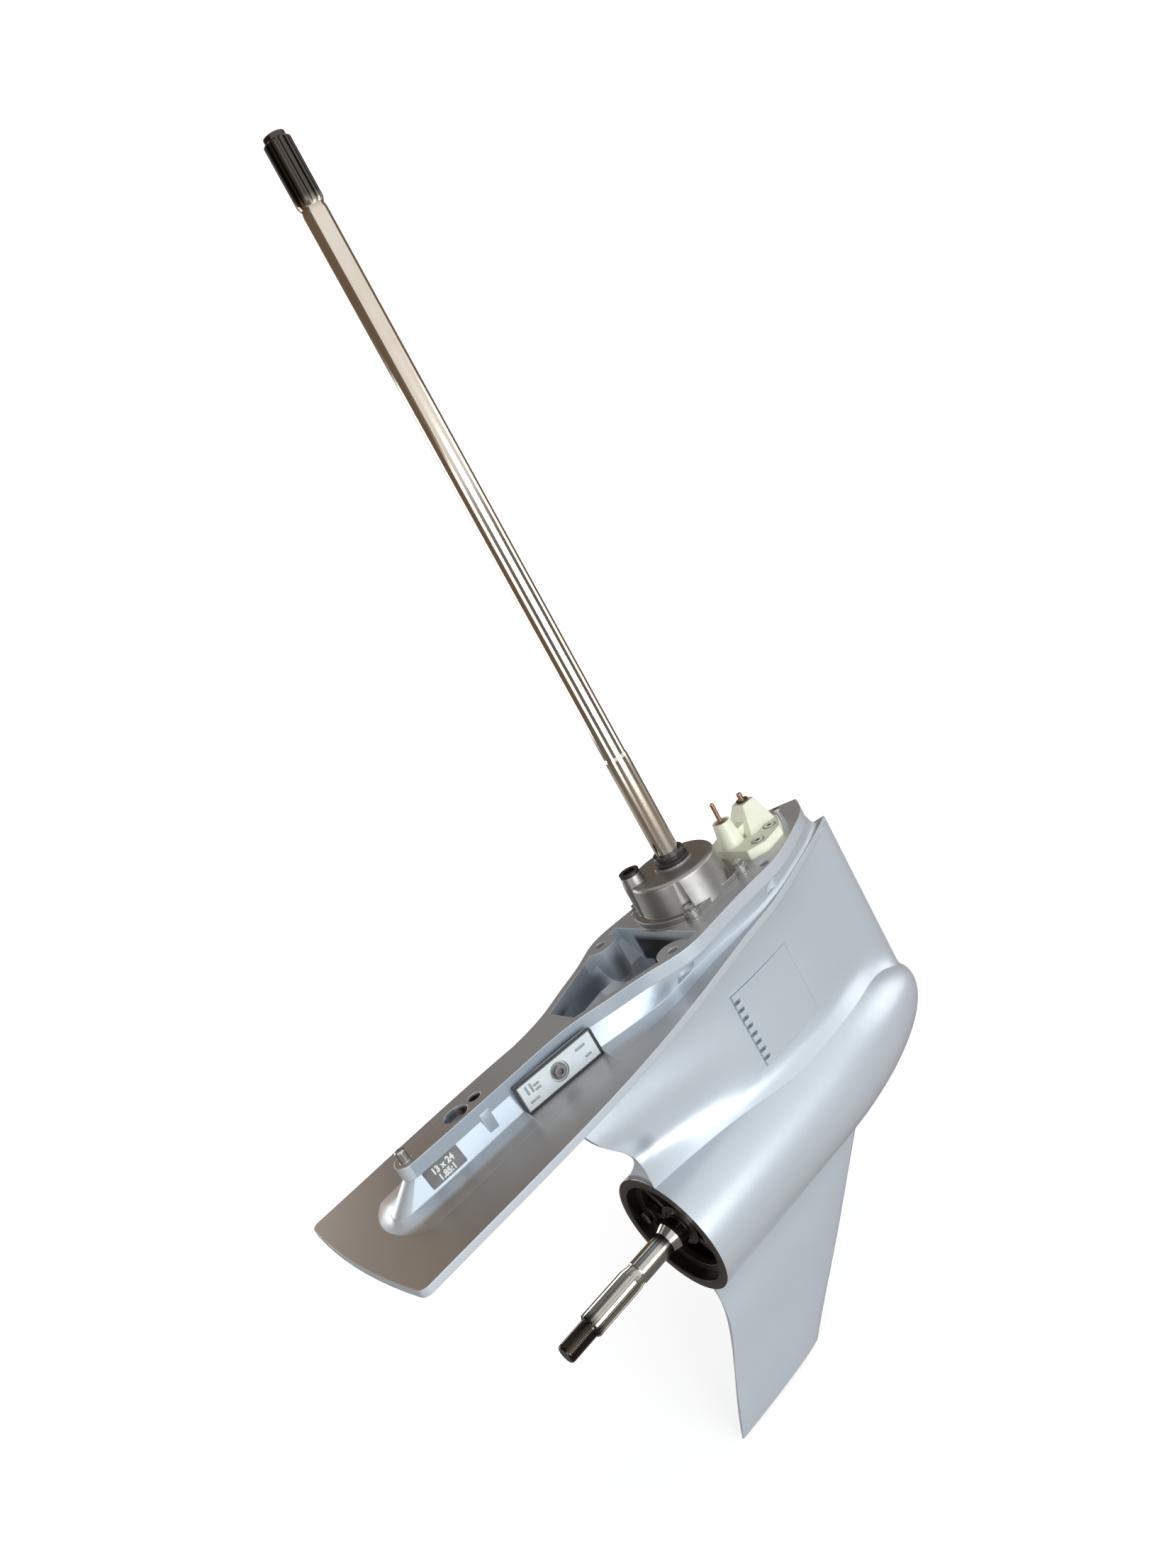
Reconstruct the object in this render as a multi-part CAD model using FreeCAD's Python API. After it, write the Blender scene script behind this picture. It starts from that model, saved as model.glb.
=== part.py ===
"""Outboard lower unit: gearcase, gears, shift gear, water pump and shafts.

Frame: +X points forwards, +Y to port, +Z up, in millimetres. The origin is on the
drive shaft's axis in the plane of the deck, which is the face that bolts to the leg.
"""
import FreeCAD, Part
import math
import os

V = FreeCAD.Vector

# Main places
PROP_DROP = 208.0           # the propeller shaft's axis lies this far below the deck
PROP_Z = -PROP_DROP
X_AXIS = V(1, 0, 0)
Y_AXIS = V(0, 1, 0)
Z_AXIS = V(0, 0, 1)

# Clearances
RUN_FIT = 0.05              # radial gap of a shaft in its hole
FREE_GAP = 0.3              # between pieces that turn past each other
SCREW_GAP = 0.3             # radial gap of a screw in a plain hole
ROLLER_GAP = 0.15           # between a bearing's rolling pieces and its rings

# Torpedo
TORPEDO_R = 56.0
TORPEDO_REAR = -174.2
NOSE_START = -2.0
NOSE_TIP = 170.5
RIM_BORE_R = 47.8           # open rear end
EXHAUST_BORE_R = 46.0
CHAMBER_R = 44.0            # gear chamber and the carrier's seat
RIM_STEP = -158.0
CARRIER_SEAT_REAR = -97.0
CHAMBER_FRONT = 34.5
CARRIER_BOLT_Y = 40.0
CARRIER_BOLT_R = 3.0
CARRIER_BOLT_LENGTH = 18.0  # in the casting
CARRIER_FLANGE_T = 6.0
CARRIER_EAR_R = 7.5
CARRIER_BOLT_ACROSS = 10.0
CARRIER_BOLT_HEAD = 5.0
CARRIER_HUB_R = 19.0
CARRIER_CONE = ((36.0, CARRIER_SEAT_REAR), (24.0, -106.0), (20.0, -112.0))
CARRIER_RING_PROUD = 1.4    # its flange over the exhaust bore
WEB_ROOT_R = 17.0           # inside the carrier's hub
WEB_HALF = 2.5
WEB_DEPTH = 8.0             # ahead of the step in the rim

# Strut
STRUT_TIP = 168.0
STRUT_EDGE = 2.5            # half thickness of the trailing edge
TRAIL_TOP = -222.0          # trailing edge under the plate
TRAIL_FOOT = -167.5         # trailing edge where it meets the torpedo's fairing
TRAIL_FOOT_Z = 72.0         # above the propeller shaft's axis
FAIRING_R = 30.0
FAIRING_SINK = 1.5          # the blade's foot stays this far inside the torpedo
# Half thickness at stations along the strut, in its straight part
STRUT_HALF = ((-135, 11.5), (-90, 21.0), (-45, 28.5), (0, 31.2), (45, 29.5), (90, 21.5), (130, 12.0),
              (160, 4.4))
# Half thickness under the plate
SHOULDER_HALF = ((-135, 23), (-90, 34), (-45, 42), (0, 44), (45, 40), (90, 26), (130, 13.5),
                 (160, 4.8))
SHOULDER_DEPTH = 46.0
# Heights over the propeller shaft's axis at which the strut's outline is drawn
FAIRING_LEVELS = (90.0, 68.0, 54.0, 40.0, 22.0, 6.0)

# Anti-ventilation plate
PLATE_TOP = -31.4
PLATE_UNDER = -37.4
PLATE_REAR = -384.0
PLATE_TIP = 168.0
PLATE_SIDE = ((-378, 88), (-229, 87), (-154, 82), (-98, 73.5), (-47, 63), (-7, 54.5), (34, 47.5),
              (82, 33), (128, 17))
PLATE_CORNER_R = 7.0

# Wall between plate and deck
NECK_Z = -27.5
NECK_REAR = -347.0
NECK_TIP = 152.0
NECK_SIDE = ((-338, 12.5), (-250, 17), (-206, 20), (-158, 29), (-133, 37), (-98, 44.5), (-58, 42),
             (-20, 43.5), (20, 44), (57, 38), (90, 28), (125, 15))
DECK_REAR = -326.0
DECK_TIP = 147.0
DECK_SIDE = ((-320, 10.5), (-278, 13.5), (-209, 17), (-158, 24), (-133, 34), (-98, 47.5), (-75, 59),
             (-38, 60.5), (17, 56), (50, 54.5), (100, 37), (133, 17))
RIM_DEPTH = 11.0
RIM_PROUD = 2.5             # the rim stands this far out over the wall below it
SWEEP_SINK = 2.0            # the sweep starts this far below the plate's top
SWEEP_INSET = 1.0           # and this far inside the plate's edge
SWEEP_REAR = 20.0           # its foot reaches this far behind the wall
SWEEP_RISES = (0.0, 0.25, 0.6, 1.0)

# Skeg
SKEG_BOTTOM = 185.6         # below the propeller shaft's axis
SKEG_ROOT_HALF = 5.5
SKEG_TIP_HALF = 2.4
SKEG_FAIRING_R = 14.0
SKEG_LEVELS = (48.0, 58.0, 68.0, 95.0, 121.0, 148.0, SKEG_BOTTOM)
# Edges of the skeg: (depth under the propeller shaft's axis, place)
SKEG_FRONT = ((40, 66), (53, 59), (75, 31), (123, -28), (183, -106), (190, -113))
SKEG_REAR = ((40, -165), (70, -167), (95, -170), (121, -181), (148, -196), (190, -217))
# Share of the way from rear to front edge, and share of the full thickness there
SKEG_SECTION = ((0.0, 0.35), (0.3, 0.85), (0.6, 1.0), (0.88, 0.62))
SKIN_DEGREE = 3

# Exhaust opening in the deck: it narrows with the wall and runs down into the duct in the strut
DUCT_RIM = 7.0              # the rim's width round the opening
DUCT_REAR = -158.0
DUCT_FRONT = -48.0
DUCT_DEPTH = 46.0
MOUTH_X = (-133.0, -98.0, -75.0)
MOUTH_WALL = 5.0
DUCT_SIDE = ((-146, 5.0), (-110, 12.5), (-66, 20.5), (-44, 21.0))
DUCT_FOOT = ((-150, 9.0), (-104, 9.0))
DUCT_FOOT_LOW = 30.0        # above the propeller shaft's axis
DUCT_FOOT_HIGH = 60.0
LUG_R = 14.0                # bosses of the deck bolts
BOSS_R = 8.0                # bosses of the carrier bolts in the exhaust bore
BOSS_FRONT = -120.0

# Deck bolts and dowels
BOLT_REAR_X = -72.0
BOLT_FRONT_X = 45.0
BOLT_Y = 48.0
BOLT_HOLE_R = 4.6
BOLT_POCKET_R = 9.5
DOWEL_R = 4.0
DOWEL_SEAT_R = 4.6          # its thicker end in the casting
REAR_DOWEL_X = -317.5
FRONT_DOWEL = (116.0, -6.0)
DOWEL_PROUD = 9.0
DOWEL_DEPTH = 10.0
TAB_BOLT_X = -269.4
TAB_BOLT_R = 5.2
TAB_COUNTERBORE_R = 10.0
TAB_COUNTERBORE_DEPTH = 8.0
TAB_SIDE_HOLE_X = -251.0
TAB_SIDE_HOLE_R = 5.5
TAB_SIDE_HOLE_DEPTH = 14.0

# Drive shaft
DRIVE_TOP = 643.0
DRIVE_SPLINE_LENGTH = 51.4
DRIVE_SPLINE_R = 10.5
DRIVE_SPLINE_ROOT = 9.0
DRIVE_TEETH = 14
DRIVE_PILOT_R = 8.2         # plain nose over the spline
DRIVE_PILOT_LENGTH = 4.0
DRIVE_R = 9.4
DRIVE_STEP_Z = 134.0
DRIVE_LOWER_R = 10.0
DRIVE_TUNNEL_R = 12.5

# Propeller shaft
PROP_END = -299.5
PROP_THREAD_R = 8.0
PROP_THREAD_LENGTH = 27.5
PROP_LEAD = 1.2             # chamfer of the threaded end
COTTER_R = 2.0
COTTER_INSET = 7.0
PROP_SPLINE_R = 10.6
PROP_SPLINE_ROOT = 9.1
PROP_SPLINE_FRONT = -217.0
PROP_TEETH = 13
PROP_PLAIN_R = 9.75
PROP_SHOULDER_X = -183.0
PROP_BODY_R = 11.5
PROP_STUB_R = 9.0
PROP_STUB_X = 13.0
PROP_FRONT = 47.0

# Gears: straight bevel teeth whose cones meet where the two shafts' axes cross
MODULE = 3.4
PINION_TEETH = 13
WHEEL_TEETH = 24
PRESSURE_DEG = 25.0
FACE_SHARE = 0.72           # cone distance of the inner tooth end, as a share of the outer
ADDENDUM = 3.2
DEDENDUM = 4.1
BACKLASH = 0.55
PINION_R = MODULE * PINION_TEETH / 2
WHEEL_FACE_X = 16.5
WHEEL_BACK_X = 34.0
WHEEL_BORE_R = 12.6
WHEEL_HUB_R = 17.5
HUB_END_X = 47.6
PINION_BORE_R = 8.0
PINION_NUT_FOOT = 24.2      # above the propeller shaft's axis
PINION_TOE = 30.0
PINION_NUT_BORE_R = 5.0
PINION_NUT_ACROSS = 17.0
PINION_BACK = 47.5

# Dog clutch and shift gear
CLUTCH_TRAVEL = 4.0
CLUTCH_BODY = 8.0           # half length without its dogs
CLUTCH_R = 21.5
DOG_COUNT = 6
DOG_PITCH_DEG = 60.0
DOG_DEG = 24.0
DOG_INNER_R = 14.5
DOG_HEIGHT = 4.0
DOG_POCKET = 4.0
CLUTCH_PIN_R = 3.0
WIRE_GROOVE = 1.3           # half width and depth of the groove for the pin's spring ring
WIRE_R = 1.0
CLUTCH_TEETH = 12
CLUTCH_SPLINE_R = 12.6
SHIFT_X = 62.0              # axis of the shift rod
SHIFT_ROD_R = 4.0
SHIFT_ROD_NECK = 25.0       # the rod is thinner from here up
SHIFT_PIN_R = 1.9
SHIFT_ROD_TOP = 50.0
CRANK_THROW = 8.0
SHIFT_SWING_DEG = 30.0
CRANK_PIN_R = 2.5
CRANK_T = 6.0
CRANK_HUB_R = 7.0
CRANK_GAP = 0.2             # each side of the pin in its slot
SLIDER_R = 12.0
SLIDER_FRONT = 80.0
SLIDER_REAR = 52.0
SLIDER_FLAT = 7.2           # height of its milled flat above the axis
PLUNGER_R = 4.0
PLUNGER_HEAD_R = 6.5
PLUNGER_HEAD_X = 53.9
PLUNGER_HEAD_T = 2.4
ROD_BUSH_R = 8.0
ROD_BUSH_T = 12.0

# Bearings
WHEEL_BEARING_R = 34.0
WHEEL_BEARING_X = 34.6      # face on the gear
REVERSE_BEARING_R = 31.0
REVERSE_BEARING_X = 37.5
WHEEL_BEARING_WIDTH = 13.0
TOP_BEARING_R = 26.0
TOP_BEARING_WIDTH = 18.0
TOP_BEARING_Z = -28.0       # its upper face
REVERSE_BEARING_WIDTH = 13.0
FORWARD_ROLLERS = 14
REVERSE_BALLS = 10
DRIVE_ROLLERS = 12
PROP_NEEDLE_R = 15.5
PROP_NEEDLE_REAR = -128.0
PROP_NEEDLE_FRONT = -102.0
PROP_SEAL_R = 15.0
PROP_SEAL_X = -148.0
NEEDLE_R = 16.0
NEEDLE_LOW = 56.0           # above the propeller shaft's axis
NEEDLE_HIGH = 74.0
SEAL_HOUSING_R = 27.5
SEAL_GROOVE_UP = 12.0       # O-ring groove and lip seal above the upper bearing
SEAL_LIP_UP = 14.0
DRIVE_SEAL_R = 16.0
O_RING_DEPTH = 2.2
O_RING_WIDTH = 3.5
CARRIER_O_RING_X = -84.0

# Water pump
PUMP_X = -4.0
PUMP_R = 40.0
PUMP_TOP_R = 38.0
PUMP_FLANGE_R = 46.5
PUMP_FLANGE_HALF = 39.0
PUMP_FLANGE_T = 5.0
PUMP_HEIGHT = 34.0
PUMP_BOLT = (31.0, 34.5)
PUMP_BOLT_R = 3.0
PUMP_EAR_R = 7.0
PUMP_WASHER_R = 5.6
PUMP_WASHER_T = 1.0
PUMP_BOLT_DEPTH = 12.0
PUMP_BOLT_ACROSS = 8.0
PUMP_BOLT_HEAD = 4.0
PUMP_POCKET_R = 6.2         # clears the washer beside the pump's wall
PUMP_EDGE_R = 3.5           # rounded upper edge
PLATE_T = 1.6
INLET_R = 5.0               # water inlet of the base plate
INLET = (20.0, 14.0)
GASKET_T = 0.5
OUTLET = (-30.0, 20.0)
OUTLET_R = 10.0
OUTLET_TOP_R = 8.8
OUTLET_BORE_R = 6.5
OUTLET_TOP = 42.0
OUTLET_TAPER = 9.0          # height of the tapered end
OUTLET_LIP_R = 5.7          # bore of its rubber lip
OUTLET_LIP_T = 3.0
CUP_R = 30.0
CUP_WALL = 2.0
CUP_OFFSET = 2.0            # the cup sits this far off the shaft, so the vanes bend
IMPELLER_HUB_R = 15.0
IMPELLER_TIP_R = 25.6
IMPELLER_HEIGHT = 16.0
VANE_COUNT = 6
VANE_OUTER_R = 16.0         # both faces of a curved vane
VANE_INNER_R = 13.2
VANE_CENTRE_Y = -10.5
KEY_R = 6.0
KEY_W = 4.0
KEY_GAP = 0.1
KEY_X = DRIVE_LOWER_R + 1.5
KEY_Z = PLATE_T + GASKET_T + IMPELLER_HEIGHT / 2 + 1.0
BOOT_R = 14.5
BOOT_TOP = 44.5

# Shift bracket
BRACKET_T = 9.0
BRACKET_PLAN = ((51, 12), (50, -29), (65, -38), (89, -34), (107, -16), (109, 12), (98, 28), (80, 32),
                (62, 26))
BRACKET_CORNER_R = 2.0
TOWER_TOP = 32.0
TOWER_FOOT_R = 11.5
TOWER_TOP_R = 7.8
TOWER_CUP_R = 6.0           # open cup at the rear tower's top
TOWER_CUP_DEPTH = 7.0
SLOPE_FOOT = ((72, -15), (103, -17), (106, 12), (96, 21), (74, 18))
SLOPE_TOP = ((88, -3.5), (102, -4.5), (103, 9), (97, 12), (89, 11))
FRONT_TOWER_TOP = 31.0
BRIDGE_HALF = 5.0
BRIDGE_DROP = 13.0          # below the rear tower's top
SCREW_RECESS = 3.0
BOOT_SINK = 6.0             # the seal reaches this far below the cup's floor
BOOT_LIP_R = 3.1            # hole of the seal round the rod's thin end
NIPPLE = (96.0, 4.0)
NIPPLE_R = 3.2
NIPPLE_END_R = 2.4
NIPPLE_BORE_R = 1.3
NIPPLE_LENGTH = 8.0         # above the tower
NIPPLE_SEAL_R = 5.4
NIPPLE_SEAL_T = 1.6
BRACKET_SCREW_DEPTH = 8.0
BRACKET_SCREWS = ((67.0, -27.0), (90.0, -21.0), (88.0, 24.0))
SCREW_R = 3.0
SCREW_HEAD_R = 5.0
SCREW_HEAD_T = 3.5
SCREW_SOCKET = 4.0          # across its flats
SCREW_SOCKET_DEPTH = 2.0

# Side anodes
ANODE_X = -194.0
ANODE_Z = -19.5
ANODE_Y = 22.5
ANODE_LENGTH = 70.0
ANODE_HEIGHT = 22.0
ANODE_T = 7.0
ANODE_TURN_DEG = 8.0
ANODE_GAP = 1.6
ANODE_CHAMFER = 1.0
ANODE_RECESS_R = 8.0
ANODE_RECESS_DEPTH = 2.0
ANODE_BOLT_END = 14.0       # from the anode's middle into the casting
ANODE_WASHER_R = 6.5
ANODE_WASHER_T = 1.2
ANODE_HEAD_R = 4.6
ANODE_HEAD_T = 3.2
ANODE_SOCKET_R = 2.4

# Water intakes
COVER_REAR = -35.5
COVER_FRONT = 38.0
COVER_LOW = -146.0
COVER_HIGH = -76.0
COVER_SEAT = 26.5
COVER_LIFT_DEG = 2.0
COVER_GAP = 0.3
SLOT_COUNT = 8
SLOT_W = 3.4
SLOT_LENGTH = 5.0
SLOT_MARGIN = 3.0           # cover beyond the first and the last slot
COVER_SCREW_X = COVER_FRONT - 6.0
COVER_SCREW_Z = -110.0
COVER_HEAD_SEAT = 1.5       # the head's seat over the cover's inner face
COVER_HEAD_T = 2.0
COVER_SCREW_END = 14.0      # the thread's inner end
CHAMBER_WALL = 5.0          # between the water chamber and the drive shaft's tunnel
RISER_R = 4.0               # water's way up to the pump
RISER = (22.0, DRIVE_TUNNEL_R + 9.5)
OUTSIDE_Y = 80.0            # clear of the strut's side

# Oil plugs on the port side
OIL_PLUGS = ((66.0, -172.0), (-66.0, -92.0))
PLUG_HEAD_R = 7.0
PLUG_HEAD_T = 3.0
PLUG_SLOT_HALF = 0.8        # half width of the driver's slot
PLUG_SHANK_R = 4.0
PLUG_WASHER_R = 8.0
PLUG_WASHER_T = 1.0
PLUG_FACE_DEPTH = 1.0       # spot face under the washer
PLUG_INNER_Y = 14.0


# General shapes

def cylinder(radius, low, high, x=0.0, y=0.0):
    """Upright cylinder between two heights."""
    return Part.makeCylinder(radius, high - low, V(x, y, low), Z_AXIS)


def shaft_cylinder(radius, rear, front, y=0.0, z=PROP_Z):
    """Cylinder along the propeller shaft's direction."""
    return Part.makeCylinder(radius, front - rear, V(rear, y, z), X_AXIS)


def side_cylinder(radius, x, z, inner, outer):
    """Cylinder across the part, from one side position to another."""
    length = outer - inner
    return Part.makeCylinder(radius, abs(length), V(x, inner, z), V(0, math.copysign(1, length), 0))


def ring(outer, inner, low, high, x=0.0, y=0.0):
    return cylinder(outer, low, high, x, y).cut(cylinder(inner, low - 1, high + 1, x, y))


def shaft_ring(outer, inner, rear, front):
    return shaft_cylinder(outer, rear, front).cut(shaft_cylinder(inner, rear - 1, front + 1))


def box(low, high):
    """Box between two corners."""
    return Part.makeBox(high[0] - low[0], high[1] - low[1], high[2] - low[2], V(*low))


def prism(points, low, high):
    """Upright prism on a plan outline."""
    corners = [V(x, y, low) for x, y in points]
    return Part.Face(Part.makePolygon(corners + corners[:1])).extrude(V(0, 0, high - low))


def both_sides(port):
    """Closed plan outline from its port side's points."""
    return list(port) + [(x, -y) for x, y in reversed(port)]


def turned(profile):
    """Solid of revolution about the vertical axis, from (radius, height) points."""
    corners = [V(r, 0, z) for r, z in profile]
    return Part.Face(Part.makePolygon(corners + corners[:1])).revolve(V(0, 0, 0), Z_AXIS, 360)


def lay_along_shaft(shape):
    """Lay a shape made about the vertical axis on the propeller shaft's axis, its +Z forwards."""
    laid = shape.copy()
    laid.rotate(V(0, 0, 0), Y_AXIS, 90)
    laid.translate(V(0, 0, PROP_Z))
    return laid


def face_aft(shape):
    """The same shape on the other side of the drive shaft, turned half round."""
    turned_shape = shape.copy()
    turned_shape.rotate(V(0, 0, 0), Z_AXIS, 180)
    return turned_shape


def mirrored(shape):
    return shape.mirror(V(0, 0, 0), Y_AXIS)


def fused(shapes):
    """One solid from several that overlap or touch."""
    return shapes[0].multiFuse(shapes[1:]).removeSplitter()


def group(shapes):
    """Separate solids in one node."""
    return Part.makeCompound(shapes)


def hexagon(across, low, high, x=0.0, y=0.0):
    radius = across / math.sqrt(3)
    corners = [(x + radius * math.cos(math.radians(60 * k)), y + radius * math.sin(math.radians(60 * k)))
               for k in range(6)]
    return prism(corners, low, high)


def interpolate(table, x):
    """Straight interpolation in a table of (x, value) rows."""
    if x <= table[0][0]:
        return table[0][1]
    for (x0, v0), (x1, v1) in zip(table, table[1:]):
        if x <= x1:
            return v0 + (v1 - v0) * (x - x0) / (x1 - x0)
    return table[-1][1]


def splined(teeth, tip, root, low, high):
    """Upright splined length: straight-sided teeth on a round core."""
    pitch = 360.0 / teeth
    outline = []
    for k in range(teeth):
        for share, radius in ((-0.30, root), (-0.20, tip), (0.20, tip), (0.30, root)):
            angle = math.radians(pitch * (k + share))
            outline.append((radius * math.cos(angle), radius * math.sin(angle)))
    return prism(outline, low, high)


# Housing: outer form

def side_curve(points, tip, z, inset=0.0):
    """Port side of a level outline, from its rear corner to its front tip.

    Levels that share stations share knots.
    """
    path = [V(x, y - inset, z) for x, y in points] + [V(tip - inset, 0, z)]
    places = [x for x, y in points] + [tip]
    shares = [(x - places[0]) / (places[-1] - places[0]) for x in places]
    curve = Part.BSplineCurve()
    curve.interpolate(Points=path, Parameters=shares)
    return curve.toShape()


def skin(wires):
    """Smooth solid through level outlines."""
    return Part.makeLoft(wires, True, False, False, SKIN_DEGREE)


def level_outline(rear, points, tip, z, inset=0.0):
    """Closed level outline with a bowed rear end."""
    port = side_curve(points, tip, z, inset)
    starboard = mirrored(port)
    x, y = points[0]
    bow = Part.Arc(V(x, inset - y, z), V(rear + inset, 0, z), V(x, y - inset, z)).toShape()
    return Part.Wire([bow, port, starboard])


def torpedo():
    """Bullet-shaped gear housing: a cylinder with an elliptic nose."""
    top = PROP_Z + TORPEDO_R
    ellipse = Part.Ellipse(V(NOSE_TIP, 0, PROP_Z), V(NOSE_START, 0, top), V(NOSE_START, 0, PROP_Z))
    nose = Part.ArcOfEllipse(ellipse, 0, math.pi / 2).toShape()
    back = Part.makePolygon([V(NOSE_START, 0, top), V(TORPEDO_REAR, 0, top),
                             V(TORPEDO_REAR, 0, PROP_Z), V(NOSE_TIP, 0, PROP_Z)])
    profile = Part.Face(Part.Wire([nose] + back.Edges))
    return profile.revolve(V(0, 0, PROP_Z), X_AXIS, 360)


def torpedo_radius(x):
    if x <= NOSE_START:
        return TORPEDO_R
    share = min((x - NOSE_START) / (NOSE_TIP - NOSE_START), 1.0)
    return TORPEDO_R * math.sqrt(1.0 - share * share)


def faired_half(half, radius, height, fairing):
    """Half thickness at a height over the shaft's axis, with a concave fairing down onto the torpedo."""
    start = math.sqrt(max((radius + fairing) ** 2 - (half + fairing) ** 2, 0.0))
    touch = start * radius / (radius + fairing)
    if height >= start:
        return half
    if height >= touch:
        return half + fairing - math.sqrt(fairing ** 2 - (start - height) ** 2)
    inside = math.sqrt(max(radius ** 2 - height ** 2, 0.0)) - FAIRING_SINK
    foot = half + fairing - math.sqrt(max(fairing ** 2 - (start - touch) ** 2, 0.0))
    return max(min(inside, foot), half)


def blade_outline(points, tip, z):
    """Level outline of a blade with a straight rear edge."""
    port = side_curve(points, tip, z)
    rear, half = points[0]
    edge = Part.makeLine(V(rear, -half, z), V(rear, half, z))
    return Part.Wire([edge, port, mirrored(port)])


def strut_outline(height, halves):
    """Level outline of the strut at a height over the propeller shaft's axis."""
    points = []
    for x, half in [(trail_x(height), STRUT_EDGE)] + halves:
        points.append((x, faired_half(half, torpedo_radius(x), height, FAIRING_R)))
    return blade_outline(points, STRUT_TIP, PROP_Z + height)


def trail_x(height):
    """Trailing edge of the strut at a height over the propeller shaft's axis."""
    top = PLATE_UNDER - PROP_Z
    if height >= TRAIL_FOOT_Z:
        return TRAIL_FOOT + (TRAIL_TOP - TRAIL_FOOT) * (height - TRAIL_FOOT_Z) / (top - TRAIL_FOOT_Z)
    drop = min((TRAIL_FOOT_Z - height) / (TRAIL_FOOT_Z - TORPEDO_R), 1.0)
    return TRAIL_FOOT + (TORPEDO_REAR - TRAIL_FOOT) * drop * drop


def strut():
    """Blade that carries the torpedo under the plate, faired into both."""
    top = PLATE_UNDER - PROP_Z
    shoulder_end = top - SHOULDER_DEPTH
    wires = []
    for height in (top + 2.0, top - 18.0, shoulder_end) + FAIRING_LEVELS:
        share = max((height - shoulder_end) / (top - shoulder_end), 0.0) ** 2
        halves = [(x, half + (interpolate(SHOULDER_HALF, x) - half) * share) for x, half in STRUT_HALF]
        wires.append(strut_outline(height, halves))
    return skin(wires)


def skeg_outline(depth):
    front = interpolate(SKEG_FRONT, depth)
    rear = interpolate(SKEG_REAR, depth)
    share = (depth - TORPEDO_R) / (SKEG_BOTTOM - TORPEDO_R)
    full = SKEG_ROOT_HALF + (SKEG_TIP_HALF - SKEG_ROOT_HALF) * share
    points = []
    for place, thickness in SKEG_SECTION:
        x = rear + (front - rear) * place
        points.append((x, faired_half(full * thickness, torpedo_radius(x), depth, SKEG_FAIRING_R)))
    return blade_outline(points, front, PROP_Z - depth)


def skeg():
    """Thin fin under the torpedo."""
    return skin([skeg_outline(depth) for depth in SKEG_LEVELS])


def plate():
    """Flat anti-ventilation plate with its rear corners rounded."""
    outline = level_outline(PLATE_REAR, PLATE_SIDE, PLATE_TIP, PLATE_UNDER)
    slab = Part.Face(outline).extrude(V(0, 0, PLATE_TOP - PLATE_UNDER))
    corners = []
    for edge in slab.Edges:
        upright = abs(edge.BoundBox.ZLength - (PLATE_TOP - PLATE_UNDER)) < 0.01
        if upright and edge.BoundBox.XMax < PLATE_SIDE[0][0] + 1:
            corners.append(edge)
    return slab.makeFillet(PLATE_CORNER_R, corners)


def sweep():
    """Concave face that runs from the plate up into the wall."""
    wires = []
    for rise in SWEEP_RISES:
        z = PLATE_TOP - SWEEP_SINK + rise * (NECK_Z - PLATE_TOP + SWEEP_SINK)
        blend = (1.0 - rise) ** 2
        points = []
        for x, y in NECK_SIDE:
            points.append((x, y + (interpolate(PLATE_SIDE, x) - SWEEP_INSET - y) * blend))
        tip = NECK_TIP + (PLATE_TIP - 2.0 * SWEEP_INSET - NECK_TIP) * blend
        wires.append(level_outline(NECK_REAR - SWEEP_REAR * blend, points, tip, z))
    return skin(wires)


def wall():
    """Wall from the sweep up to the rim."""
    low = level_outline(NECK_REAR, NECK_SIDE, NECK_TIP, NECK_Z - 0.5)
    high = level_outline(DECK_REAR, DECK_SIDE, DECK_TIP, -RIM_DEPTH + 0.5, RIM_PROUD)
    return Part.makeLoft([low, high], True, True)


def rim():
    """Deck with its upright band all round."""
    outline = level_outline(DECK_REAR, DECK_SIDE, DECK_TIP, -RIM_DEPTH)
    return Part.Face(outline).extrude(V(0, 0, RIM_DEPTH))


# Housing: openings

def exhaust_cuts():
    """Opening in the deck, the duct down the strut and the open rear end."""
    places = (DUCT_REAR,) + MOUTH_X + (DUCT_FRONT,)
    deck = [(x, interpolate(DECK_SIDE, x) - DUCT_RIM) for x in places]
    neck = [(x, interpolate(NECK_SIDE, x) - MOUTH_WALL) for x in places]
    floor = [(x, interpolate(SHOULDER_HALF, x) - MOUTH_WALL - 4.0) for x in places]
    floor[0] = (-146.0, 5.0)
    levels = ((1.0, deck), (-RIM_DEPTH, deck), (NECK_Z, neck), (-DUCT_DEPTH, floor))
    wires = []
    for z, port in levels:
        corners = [V(x, y, z) for x, y in port] + [V(x, -y, z) for x, y in reversed(port)]
        wires.append(Part.makePolygon(corners + corners[:1]))
    mouth = Part.makeLoft(wires, True, True)
    for sign in (1, -1):
        mouth = mouth.cut(cylinder(LUG_R, -DUCT_DEPTH - 1, 2.0, BOLT_REAR_X, sign * BOLT_Y))
    duct = prism(both_sides(DUCT_SIDE), PROP_Z + DUCT_FOOT_HIGH - 1.0, -DUCT_DEPTH + 1)
    foot = prism(both_sides(DUCT_FOOT), PROP_Z + DUCT_FOOT_LOW, PROP_Z + DUCT_FOOT_HIGH)
    bore = shaft_cylinder(EXHAUST_BORE_R, RIM_STEP - 1, CARRIER_SEAT_REAR)
    for side_y in (CARRIER_BOLT_Y, -CARRIER_BOLT_Y):
        bore = bore.cut(shaft_cylinder(BOSS_R, RIM_STEP, BOSS_FRONT, y=side_y))
    rear = shaft_cylinder(RIM_BORE_R, TORPEDO_REAR - 1, RIM_STEP)
    return [mouth, duct, foot, bore, rear]


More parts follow.
